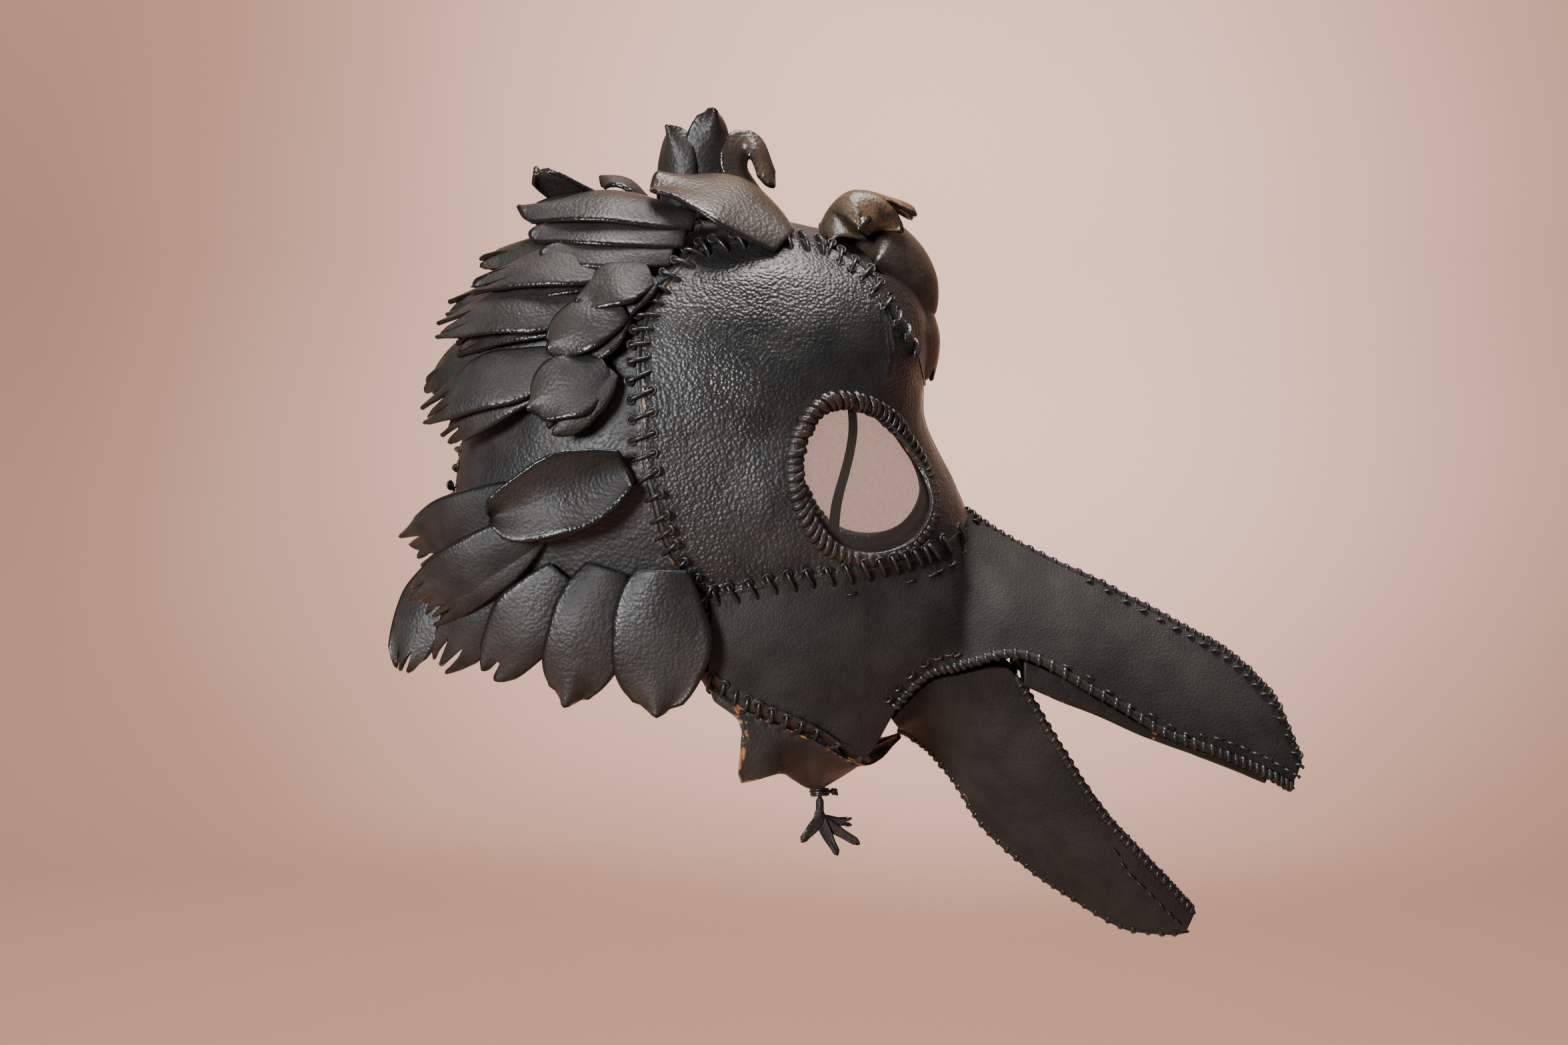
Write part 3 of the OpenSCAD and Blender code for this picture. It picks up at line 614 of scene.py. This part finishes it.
# Stitch length, rise, depth of its ends and slant for each seam of the hood, in millimetres and radians
SEAMS = {"crown_lacing": (10.5, 2.8, 1.2, 0.42), "temple_lacing": (11.0, 1.5, 1.4, 0.3),
         "cheek_lacing": (10.5, 1.8, 1.4, 0.3), "brow_lacing": (9.5, 1.4, 1.4, 0.3),
         "throat_lacing": (8.0, 1.3, 1.4, 0.3), "back_lacing": (10.0, 1.6, 1.4, 0.25)}
# Width and depth of the rolled edge that the thong is whipped over along the beaks
ROLLS = {"ridge_lacing": (4.6, 4.2), "palate_lacing": (4.4, 4.4), "lower_beak_lacing": (4.2, 4.2),
         "keel_lacing": (4.4, 4.2)}
WHIP_PITCH = 5.2


def in_order(spots, jump=16.0):
    """The stitches sorted along their seam, in runs that are never further apart than jump millimetres."""
    left = list(spots)
    centre = sum((s[0] for s in left), Vector()) / len(left)
    left.sort(key=lambda s: -(s[0] - centre).length)
    runs = [[left.pop(0)]]
    while left:
        near = min(left, key=lambda s: (s[0] - runs[-1][-1][0]).length)
        if (near[0] - runs[-1][-1][0]).length > jump * MM:
            runs.append([])
        runs[-1].append(near)
        left.remove(near)
    return [run for run in runs if len(run) > 2]


def along_run(run, pitch):
    """Places, directions and facings every pitch millimetres along a run of stitches."""
    places = [np.array(s[0]) for s in run]
    places = [2 * places[0] - places[1]] + places + [2 * places[-1] - places[-2]]
    outs = [np.array(run[0][2])] + [np.array(s[2]) for s in run] + [np.array(run[-1][2])]
    total = sum(np.linalg.norm(b - a) for a, b in zip(places, places[1:]))
    n = max(4, round(total / (pitch * MM)))
    rows = []
    for i in range(n + 1):
        t = 0.5 / (len(places) - 1) + (1 - 1 / (len(places) - 1)) * i / n
        ahead = unit(curve(places, min(1, t + 0.01)) - curve(places, max(0, t - 0.01)))
        out = unit(curve(outs, t))
        out = unit(out - ahead * np.dot(out, ahead))
        rows.append((curve(places, t), ahead, out))
    return rows


def rolled_edge(name, runs, width, depth, material, sides=10, sink=0.3):
    """A soft roll of leather that fills the joint under the stitches."""
    points, faces = [], []
    for run in runs:
        rows = along_run(run, 2.6)
        first = len(points)
        for k, (where, ahead, out) in enumerate(rows):
            across = np.cross(out, ahead)
            end = min(1.0, 0.25 + min(k, len(rows) - 1 - k) * 0.4)
            for a in range(sides):
                turn = 2 * math.pi * a / sides
                lump = 1 + 0.1 * noise.noise(Vector(where) * 300)
                points.append(where - out * sink * MM + end * lump * MM / 2
                              * (width * math.cos(turn) * across + depth * math.sin(turn) * out))
        for k in range(len(rows) - 1):
            for a in range(sides):
                b = (a + 1) % sides
                low, high = first + k * sides, first + (k + 1) * sides
                faces.append((low + a, low + b, high + b, high + a))
        faces.append([first + a for a in range(sides - 1, -1, -1)])
        faces.append([len(points) - sides + a for a in range(sides)])
    mesh = bpy.data.meshes.new(name)
    mesh.from_pydata([tuple(p) for p in points], [], faces)
    fixed = bmesh.new()
    fixed.from_mesh(mesh)
    bmesh.ops.recalc_face_normals(fixed, faces=fixed.faces)
    fixed.to_mesh(mesh)
    fixed.free()
    mesh.attributes.new("edge", "FLOAT", "POINT")
    mesh.shade_smooth()
    mesh.materials.append(material)
    piece = bpy.data.objects.new(name, mesh)
    bpy.context.scene.collection.objects.link(piece)
    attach(piece, "hood")
    return piece


laid = {}
for node, rows in STITCHES.items():
    seam = node.replace("_right", "").replace("_left", "")
    mirror = -1 if node.endswith("_left") else 1
    spots = []
    for middle, axis, _ in rows:
        guess = Vector((middle.x * 0.8, middle.y * 1.7, middle.z)).normalized()
        if seam in ("palate_lacing", "lower_beak_lacing"):
            guess = Vector((0.2, -mirror, 0)).normalized()
        elif seam == "keel_lacing":
            guess = Vector((-0.5, 0, -1)).normalized()
        elif seam == "ridge_lacing":
            guess = Vector((0.5, 0, 1)).normalized()
        out = facing(middle, guess)
        if axis.y * mirror < 0 or (abs(axis.y) < 0.05 and axis.x < 0):
            axis = -axis
        across = (axis - out * axis.dot(out)).normalized()
        spots.append((middle + give(middle), across, out))
    laid[node] = spots
    runs = in_order(spots)
    if seam in ROLLS:
        width, depth = ROLLS[seam]
        rolled_edge(node + "_roll", runs, width, depth, beak_black, sink=1.1)
        turns = [(where - out * 1.1 * MM, np.cross(out, ahead), out)
                 for run in runs for where, ahead, out in along_run(run, WHIP_PITCH)[1:-1]]
        piece = from_points(node + "_thong", wrap, turns, {
            "Core Width": (width + 0.5) * MM, "Core Depth": (depth + 0.5) * MM, "Thong Width": 2.3 * MM,
            "Thong Thickness": 1.3 * MM, "Slant": 0.45, "Seed": 5, "Thong": thong_black})
    else:
        length, rise, depth, slant = SEAMS[seam]
        wide = 11.0 if seam == "throat_lacing" else 3.6
        rolled_edge(node + "_roll", runs, wide, 2.2, lip_leather, sink=1.0)
        piece = from_points(node + "_thong", stitch, spots, {
            "Length": length * MM, "Thong Width": 3.3 * MM, "Thong Thickness": 2.0 * MM, "Rise": rise * MM,
            "Depth": depth * MM, "Hole": 2.0 * MM, "Slant": slant * mirror, "Seed": 5,
            "Thong": thong_black, "Lip": lip_leather, "Dark": hole_dark})
    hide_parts(node)

# Rows of small running stitches hold the turned-in edges of the beaks, a finger's width inside the edge.
# Node of the edge, panel that the row is on, distance inside the edge in millimetres
RUNNING = (("ridge_lacing", "cheek_beak_panel", 7.0), ("palate_lacing", "cheek_beak_panel", 6.5),
           ("lower_beak_lacing", "lower_beak_panel", 10.5), ("cheek_lacing", "cheek_beak_panel", 9.0))
for seam, panel, inside in RUNNING:
    for side, mirror in (("right", 1), ("left", -1)):
        ground = BVHTree.FromObject(bpy.data.objects[f"{panel}_{side}_leather"],
                                    bpy.context.evaluated_depsgraph_get())
        spots = []
        for middle, across, out in laid.get(seam, laid.get(f"{seam}_{side}")):
            best = None
            for way in (-1, 1):
                aim = middle + across * way * inside * MM
                if seam == "ridge_lacing":
                    aim = middle + Vector((-0.25, -mirror * 0.8, -1)).normalized() * inside * MM
                where, normal, _, far = ground.find_nearest(aim + out * 2 * MM)
                if best is None or far < best[3]:
                    best = (where, normal, aim, far)
            where, normal, aim, far = best
            if far < 7.5 * MM and (where - middle).length > inside * 0.5 * MM:
                along = normal.cross((where - middle).normalized()).normalized()
                spots.append((where + normal * 0.1 * MM, along, normal))
        row = from_points(f"{seam}_running_{side}", stitch, spots, {
            "Length": 4.2 * MM, "Thong Width": 1.6 * MM, "Thong Thickness": 1.2 * MM, "Rise": 1.0 * MM,
            "Depth": 0.9 * MM, "Hole": 0.75 * MM, "Slant": 0.0, "Seed": 9,
            "Thong": thong_black, "Lip": lip_leather, "Dark": hole_dark})

# ---------------------------------------------------------------- petals
# Leaf-shaped pieces are cut from thicker leather, their tips slit into two or three barbs, wetted, curled over the
# thumb and left to set. Each is laced on by its root, so that every row covers the roots of the one below it.
PETAL = 2.3
FIRST_LIFT = 3.5
OUTLINE = (0.5, 0.82, 1.0, 1.0, 0.9, 0.7, 0.42)


def leaf(path, width, facing_way, cup, seed, barbs=3, notch=0.2, tip=None, curl=1.0, thick=PETAL):
    """Points and faces of one petal along a path in millimetres, both faces and a rounded cut edge."""
    rng = random.Random(seed)
    tip = (0.42 if barbs else 0.22) if tip is None else tip
    long_steps, wide_steps = 26, 18
    phase, lean = rng.uniform(0, 6.28), rng.uniform(-0.05, 0.05)
    wave, edge_up = rng.uniform(0.5, 1.1) * curl, rng.uniform(-1.2, 2.4) * curl
    outline = OUTLINE[:-1] + (tip,)
    rows = []
    for i in range(long_steps + 1):
        row = []
        for j in range(wide_steps + 1):
            v = 2 * j / wide_steps - 1
            slit = 0.0
            if barbs:
                across = (v + 1) / 2 * barbs
                beside = abs(across - math.floor(across) - 0.5 + 0.12 * math.sin(phase)) * 2
                slit = notch * min(1.0, beside ** 1.6) * (1 if 0.04 < (v + 1) / 2 < 0.96 else 0.8)
            s = i / long_steps
            if not barbs:
                slit = 0.1 * v * v
            s = s * (1 - slit * s ** 3)
            middle = curve(path, s)
            along = unit(curve(path, min(1, s + 0.02)) - curve(path, max(0, s - 0.02)))
            side = unit(np.cross(facing_way, along))
            face = np.cross(along, side)
            half = width / 2 * curve(outline, s) * (1 + 0.05 * math.sin(9 * s + phase + v))
            late = max(0.0, s - 0.55) / 0.45
            bend = (-cup * v * v + wave * math.sin(3.1 * s + 2.2 * v + phase)
                    + edge_up * abs(v) ** 4 * s + late * late * 3.2 * curl * math.sin(4.1 * v + phase))
            row.append(middle + (v + lean * s * 3) * half * side + bend * face)
        rows.append(row)
    grid = np.array(rows)
    du = np.gradient(grid, axis=0)
    dv = np.gradient(grid, axis=1)
    normal = np.cross(dv, du)
    normal /= np.maximum(np.linalg.norm(normal, axis=2, keepdims=True), 1e-9)
    top, under = grid + normal * thick / 2, grid - normal * thick / 2
    across_steps = wide_steps + 1
    points = np.concatenate((top.reshape(-1, 3), under.reshape(-1, 3)))
    at = lambda i, j: i * across_steps + j
    size = (long_steps + 1) * across_steps
    faces = []
    for i in range(long_steps):
        for j in range(wide_steps):
            faces.append((at(i, j), at(i, j + 1), at(i + 1, j + 1), at(i + 1, j)))
            faces.append((size + at(i, j), size + at(i + 1, j), size + at(i + 1, j + 1), size + at(i, j + 1)))
    ring = ([(0, j) for j in range(wide_steps)] + [(i, wide_steps) for i in range(long_steps)]
            + [(long_steps, j) for j in range(wide_steps, 0, -1)] + [(i, 0) for i in range(long_steps, 0, -1)])
    bulge = []
    for k, (i, j) in enumerate(ring):
        inner = grid[min(max(i, 1), long_steps - 1), min(max(j, 1), wide_steps - 1)]
        off = grid[i, j] - inner
        bulge.append(grid[i, j] + off / max(np.linalg.norm(off), 1e-6) * thick * 0.36)
    start = len(points)
    points = np.concatenate((points, np.array(bulge)))
    for k in range(len(ring)):
        a, b = ring[k], ring[(k + 1) % len(ring)]
        ka, kb = start + k, start + (k + 1) % len(ring)
        faces.append((at(*b), at(*a), ka, kb))
        faces.append((size + at(*a), size + at(*b), kb, ka))
    edge = np.zeros(len(points))
    rub = np.zeros(len(points))
    for i in range(long_steps + 1):
        for j in range(across_steps):
            near = min(j, wide_steps - j, long_steps - i)
            value = 1.0 if near == 0 else 0.45 if near == 1 else 0.0
            worn = max(0.0, i / long_steps - 0.2)
            for layer in (0, size):
                edge[layer + at(i, j)] = value
                rub[layer + at(i, j)] = worn
    edge[start:] = 1.0
    rub[start:] = 0.6
    return points, faces, edge, rub


def arched(f, height, tip, rise):
    """Path of a petal from its root at a place on the hood, arching on its way to its tip."""
    root, out, tip = lift(f, FIRST_LIFT + height), outward(f), np.array(tip, float)
    middle = (root + tip) / 2 + rise * out
    return [root, root + (middle - root) * 0.55 + out * rise * 0.1, middle, (middle + tip) / 2 + out * rise * 0.2,
            tip], out


def petal_piece(name, leaves, material, mirror=1, body="hood", node=None):
    """One object that holds the node's petals."""
    points, faces, edge, rub, done = [], [], [], [], 0
    for p, f, e, r in leaves:
        points.append(p * (MM, MM * mirror, MM))
        faces += [tuple(done + k for k in (face if mirror > 0 else face[::-1])) for face in f]
        edge.append(e)
        rub.append(r)
        done += len(p)
    mesh = bpy.data.meshes.new(name + "_leather")
    mesh.from_pydata(np.concatenate(points).tolist(), [], faces)
    for key, values in (("edge", edge), ("rub", rub)):
        mesh.attributes.new(key, "FLOAT", "POINT").data.foreach_set("value", np.concatenate(values))
    mesh.shade_smooth()
    mesh.materials.append(material)
    piece = bpy.data.objects.new(name + "_leather", mesh)
    bpy.context.scene.collection.objects.link(piece)
    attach(piece, body)
    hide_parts(node or name)
    return piece


petal_grey = leather("petal_grey", (0.0098, 0.0094, 0.0088), (0.021, 0.0192, 0.0178), grain=1.7, depth=0.28,
                     rough=0.52, spread=0.2, shine=0.35, edge=(0.008, 0.0072, 0.0068), edge_rough=0.2, rub=0.06)
petal_bronze = leather("petal_bronze", (0.014, 0.012, 0.0098), (0.032, 0.024, 0.0175), grain=1.9, depth=0.28,
                       rough=0.38, spread=0.18, edge=(0.01, 0.0085, 0.0075), edge_rough=0.22, rub=0.22)
petal_gold = leather("petal_gold", (0.02, 0.0155, 0.011), (0.055, 0.036, 0.02), grain=1.9, depth=0.3, rough=0.34,
                     spread=0.16, edge=(0.01, 0.0085, 0.0075), edge_rough=0.22, rub=0.75)
# Root in side view, height above the hood, tip, width, rise, barbs and how far the slits reach, in millimetres
ROWS = {
    1: ((2, 90, 9.5, -84, -28, 106, 32, 7, 0, 0), (-2, 86, 6, -78, -38, 96, 30, 5, 2, 0.12),
        (-8, 81, 2, -72, -50, 86, 30, 4, 2, 0.15)),
    2: ((-26, 84, 0, -104, -20, 82, 26, 7, 3, 0.25), (-20, 74, 3.4, -106, -44, 69, 28, 9, 3, 0.26),
        (-17, 68, 7, -52, -74, 60, 28, 4, 0, 0)),
    3: ((-46, 66, 0, -120, -20, 58, 26, 8, 3, 0.28), (-40, 56, 3.4, -122, -44, 47, 28, 9, 3, 0.25),
        (-29, 54, 7, -66, -82, 38, 30, 4, 2, 0.12)),
    4: ((-62, 44, 0, -132, -26, 20, 26, 9, 2, 0.2), (-52, 32, 3.4, -128, -50, 6, 28, 10, 3, 0.25),
        (-35, 28, 7, -74, -89, 10, 32, 4, 0, 0)),
    5: ((-28, -16, 5, -94, -88, -40, 36, 5, 0, 0, -6), (-76, -30, 0, -143, -18, -56, 26, 8, 2, 0.22),
        (-68, -44, 3.4, -136, -44, -82, 28, 9, 3, 0.25)),
    6: ((-80, -64, 0, -123, -38, -116, 32, 5, 3, 0.3), (-58, -66, 2.6, -98, -62, -116, 34, 5, 2, 0.16),
        (-37, -62, 5.4, -59, -78, -130, 38, 4, 0, 0), (-12, -62, 8.2, -15, -87, -134, 46, 2, 0, 0)),
}
# Each petal of the upper rows has a narrower one laced under it, whose barbs show below and beside it
UNDER_TIP = (9, 1.0, -9)
for side, mirror in (("right", 1), ("left", -1)):
    for row, cuts in ROWS.items():
        leaves = []
        for k, (x, z, h, tx, ty, tz, width, rise, barbs, notch, *cup) in enumerate(cuts):
            path, out = arched(place(x, z), h, (tx, ty, tz), rise)
            leaves.append(leaf(path, width, out, cup[0] if cup else 3, 100 * row + 7 * k, barbs, notch))
            if row < 6:
                dx, dy, dz = UNDER_TIP
                path, out = arched(place(x, z), max(0, h - 2.6), (tx + dx, ty * dy, tz + dz), rise - 1)
                leaves.append(leaf(path, width * 0.84, out, 2, 100 * row + 7 * k + 3, max(barbs, 2), 0.22))
        petal_piece(f"petal_row_{row}_{side}", leaves, petal_grey, mirror)
    path, out = arched(place(44, 88), 2, (-18, -36, 121), 9)
    feather = leaf(path, 46, out, 3, 11, 0, 0, tip=0.62)
    petal_piece("crown_feather_" + side, [feather], petal_bronze, mirror)

# ---------------------------------------------------------------- crest, tuft and curls
# Loose petals stand up from the crown and the nape, a rolled strip curls forward over the crown, and broad petals
# rubbed with bronze wax lie over the brow.
crest = []
for k, (angle, h, tip_point, width, rise, barbs) in enumerate((
        (108, 3, (-76, -28, 126), 28, 3, 0), (104, 1, (-72, 30, 122), 28, 3, 2), (98, 6, (-46, 2, 122), 30, 8, 0),
        (208, 1, (-148, 2, -122), 30, 6, 3))):
    path, out = arched(on_middle(angle), h, tip_point, rise)
    crest.append(leaf(path, width, np.array((-0.5, -0.86, 0.1)) if k == 3 else out, 3, 300 + k, barbs, 0.25))
petal_piece("nape_crest", crest, petal_grey)
tuft = []
for k, (angle, tip_point, width, cup) in enumerate(((88, (10, -6, 157), 25, 6), (96, (-12, -2, 149), 24, 6),
                                                     (82, (15, 6, 147), 20, 5))):
    path, out = arched(on_middle(angle), 2, tip_point, 0)
    tuft.append(leaf(path, width, np.array(((0.25, -1, 0), (-0.7, -1, 0), (0.8, -0.7, 0))[k]), cup, 320 + k, 0))
petal_piece("crown_tuft", tuft, petal_grey)


def shaped(f, h, points, y, width, way, cup, seed, **cut):
    """A petal whose path is set point by point in the side view."""
    path = [lift(f, FIRST_LIFT + h)] + [np.array((px, y, pz), float) for px, pz in points]
    return leaf(path, width, np.array(way, float), cup, seed, **cut)


rolled = shaped(on_middle(70), 2, ((22, 126), (23, 139), (32, 139), (40, 119)), 2, 15, (0.7, -1, 0.4), 2, 340,
                barbs=0, tip=0.7, curl=0.4)
petal_piece("crown_curl", [rolled], petal_bronze)
petal_piece("brow_petals", [
    shaped(on_middle(58), 1, ((93, 103), (110, 92), (120, 74), (121, 54)), 0, 78, (0.7, 0, 0.7), 24, 350,
           barbs=2, notch=0.12, curl=0.6),
    shaped(on_middle(29), 1, ((121, 48), (121, 36), (119, 23)), 0, 56, (1, 0, 0.3), 14, 351,
           barbs=3, notch=0.2, curl=0.5)], petal_bronze)
for side, mirror in (("right", 1), ("left", -1)):
    brow = shaped(place(66, 88), 3, ((67, 104), (78, 114), (94, 111), (107, 101)), -26, 34, (-0.7, -0.2, 0.7), 13,
                  360, barbs=2, notch=0.24, tip=0.6, curl=0.8)
    petal_piece("brow_curl_" + side, [brow], petal_gold, mirror)

# ---------------------------------------------------------------- throat tie and tassel
# A flat thong is wound three times round the gathered throat leather. A thinner one crosses it from front to back
# and is knotted in front, and the tassel, one strip slit into four, hangs on that and swings from side to side.
low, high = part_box("throat_binding")
TIE = np.array((low + high) / 2) / MM


def cord_mesh(name, path, width, depth, material, body, node, sides=10):
    """A flat thong along a path in millimetres, with tapered ends."""
    points, faces = [], []
    before = None
    for k, where in enumerate(path):
        ahead = unit(path[min(k + 1, len(path) - 1)] - path[max(k - 1, 0)])
        across = np.cross(ahead, (0.02, 0.01, 1.0)) if before is None else before - ahead * np.dot(ahead, before)
        across = before = unit(across)
        up = np.cross(ahead, across)
        end = min(1.0, 0.35 + min(k, len(path) - 1 - k) * 0.3)
        for a in range(sides):
            turn = 2 * math.pi * a / sides
            points.append((where + end / 2 * (depth * math.cos(turn) * across + width * math.sin(turn) * up)) * MM)
    for k in range(len(path) - 1):
        for a in range(sides):
            b = (a + 1) % sides
            faces.append((k * sides + a, k * sides + b, (k + 1) * sides + b, (k + 1) * sides + a))
    faces.append([a for a in range(sides - 1, -1, -1)])
    faces.append([len(points) - sides + a for a in range(sides)])
    mesh = bpy.data.meshes.new(name)
    mesh.from_pydata([tuple(p) for p in points], [], faces)
    fixed = bmesh.new()
    fixed.from_mesh(mesh)
    bmesh.ops.recalc_face_normals(fixed, faces=fixed.faces)
    fixed.to_mesh(mesh)
    fixed.free()
    mesh.attributes.new("edge", "FLOAT", "POINT")
    mesh.shade_smooth()
    mesh.materials.append(material)
    piece = bpy.data.objects.new(name, mesh)
    bpy.context.scene.collection.objects.link(piece)
    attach(piece, body)
    if node:
        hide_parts(node)
    return piece


TURNS, TIE_RADIUS = 3, 4.3
wound = []
for k in range(TURNS * 24 + 1):
    turn = 2 * math.pi * k / 24
    wound.append(TIE + np.array((TIE_RADIUS * math.cos(turn), TIE_RADIUS * math.sin(turn),
                                 -1.9 + 3.8 * k / (TURNS * 24) + 0.2 * math.sin(3 * turn))))
cord_mesh("throat_binding_thong", wound, 1.9, 1.3, thong_black, "hood", "throat_binding", 8)
loop = [TIE + np.array(p) for p in ((-5.4, 0, 0), (-3, 0, 0), (0, 0, 0), (3, 0, 0), (5.2, 0, 0), (6.6, 0.7, 0.9),
                                    (7.6, 1.2, 0.2), (7.4, 0.6, -1.1), (6.5, -0.9, -0.7), (7.2, -1.4, 0.8),
                                    (8.1, -0.4, 0.9), (8.2, 0.8, -0.6), (8.9, 0.5, -2.2))]
cross_path = [curve(loop, k / 48) for k in range(49)]
cord_mesh("throat_knot_thong", cross_path, 1.7, 1.7, thong_black, "hood", "throat_knot", 8)
# End of each strip from the end of the tassel's neck, and its width at the end, in millimetres
STRIP_ENDS = ((-9, -3, -12, 2.8), (9, -1, -19, 2.6), (20, 1.5, -14, 2.6), (16, 3.5, -4.5, 7.2))
STRIP_WIDTH = 5.0
NECK = 12
hanging = []
for k, (dx, dy, dz, wide) in enumerate(STRIP_ENDS):
    root = TIE + (0, dy * 0.35, -NECK)
    end = root + np.array((dx, dy, dz), float)
    path = [root + (0, 0, 3), root + (dx * 0.05, 0, -2), (root + end) / 2 + (0, 0, -1.5),
            end + (0, 0, -0.8 if k < 3 else 1.0)]
    hanging.append(leaf(path, STRIP_WIDTH, np.array((0.15, -1, 0.0)), 0.25, 400 + k, 2 if k == 3 else 0, 0.2,
                        tip=wide / STRIP_WIDTH, curl=0.2, thick=1.5))
petal_piece("tassel_strips", hanging, petal_grey, body="tassel", node="throat_tassel")
eye_loop = [TIE + 1.9 * np.array((0.0, math.sin(a * math.pi / 8), math.cos(a * math.pi / 8))) for a in range(17)]
cord_mesh("tassel_loop", eye_loop, 3.6, 1.1, petal_grey, "tassel", None, 8)
neck = [TIE + np.array((0, 0, -2.2 - k * (NECK - 0.5) / 10)) for k in range(11)]
cord_mesh("tassel_neck", neck, 4.0, 4.4, petal_grey, "tassel", None, 12)

# ---------------------------------------------------------------- floor, lights and camera
# A pale seamless floor that turns up behind the mask, painted lighter behind the mask and darker towards its
# corners as painted light and shade, one large soft light from the front left, a second from above, and a pale
# surround.
# Middle of the pool of light painted on the backdrop, in metres
PAINTED_LIGHT_MIDDLE = (0.22, 1.65, 0.1)


def backdrop(name, pale, deep):
    """Paper with a painted pool of light behind the mask and painted shade deepening towards its corners."""
    f = Finish(name)
    here = f.node("TexCoord", output="Object")
    away = f.node("VectorMath", {"operation": "DISTANCE"}, {0: here, 1: PAINTED_LIGHT_MIDDLE}, "Value")
    cloud = f.noise(0.9, 2, 0.5)
    return f.surface(f.mix((away + cloud * 0.4).between(0.3, 1.15), pale, deep), 0.9)


floor_mesh = bpy.data.meshes.new("floor")
FLOOR, SWEEP, SWEEP_START = -0.42, 0.55, 1.1
quarter = [a * math.pi / 16 for a in range(9)]
profile = [(-1.6, FLOOR)] + [(SWEEP_START + SWEEP * math.sin(a), FLOOR + SWEEP * (1 - math.cos(a)))
                             for a in quarter] + [(1.65, 2.6)]
FLOOR_HALF = 3.2
rows = [(x, y, z) for y, z in profile for x in (-FLOOR_HALF, FLOOR_HALF)]
floor_mesh.from_pydata(rows, [], [(2 * i, 2 * i + 1, 2 * i + 3, 2 * i + 2) for i in range(len(profile) - 1)])
floor_mesh.shade_smooth()
floor_mesh.materials.append(backdrop("backdrop_paper", (0.78, 0.52, 0.44), (0.31, 0.17, 0.12)))
floor = bpy.data.objects.new("floor", floor_mesh)
bpy.context.scene.collection.objects.link(floor)


def soft_light(name, where, aim, size, power, colour):
    data = bpy.data.lights.new(name, "AREA")
    data.shape, data.size, data.energy, data.color = "DISK", size, power, colour
    lamp = bpy.data.objects.new(name, data)
    lamp.location = where
    lamp.rotation_euler = (Vector(aim) - Vector(where)).to_track_quat("-Z", "Y").to_euler()
    bpy.context.scene.collection.objects.link(lamp)


soft_light("front_left", (-0.8, -1.3, 0.25), (0, 0, -0.02), 0.45, 40, (0.96, 0.98, 1))
soft_light("above", (0.35, -0.55, 1.3), (0.05, 0, 0), 0.5, 1.8, (0.97, 0.98, 1))
soft_light("backdrop_light", (0.2, 0.1, 1.9), (0.2, 1.6, 0.0), 1.4, 110, (1, 0.93, 0.88))

world = bpy.data.worlds.new("studio")
world.use_nodes = True
world.node_tree.nodes["Background"].inputs["Color"].default_value = (0.85, 0.93, 1.0, 1)
world.node_tree.nodes["Background"].inputs["Strength"].default_value = 0.2
bpy.context.scene.world = world

VIEW_AIM = Vector((0.045, 0, -0.048))
VIEW_DISTANCE = 1.5
VIEW_RISE = math.radians(3.5)
lens = bpy.data.cameras.new("camera")
lens.sensor_width, lens.lens = 36, 68.9
camera = bpy.data.objects.new("camera", lens)
camera.location = VIEW_AIM + Vector((0, -math.cos(VIEW_RISE), math.sin(VIEW_RISE))) * VIEW_DISTANCE
camera.rotation_euler = (VIEW_AIM - camera.location).to_track_quat("-Z", "Y").to_euler()
bpy.context.scene.collection.objects.link(camera)
bpy.context.scene.camera = camera
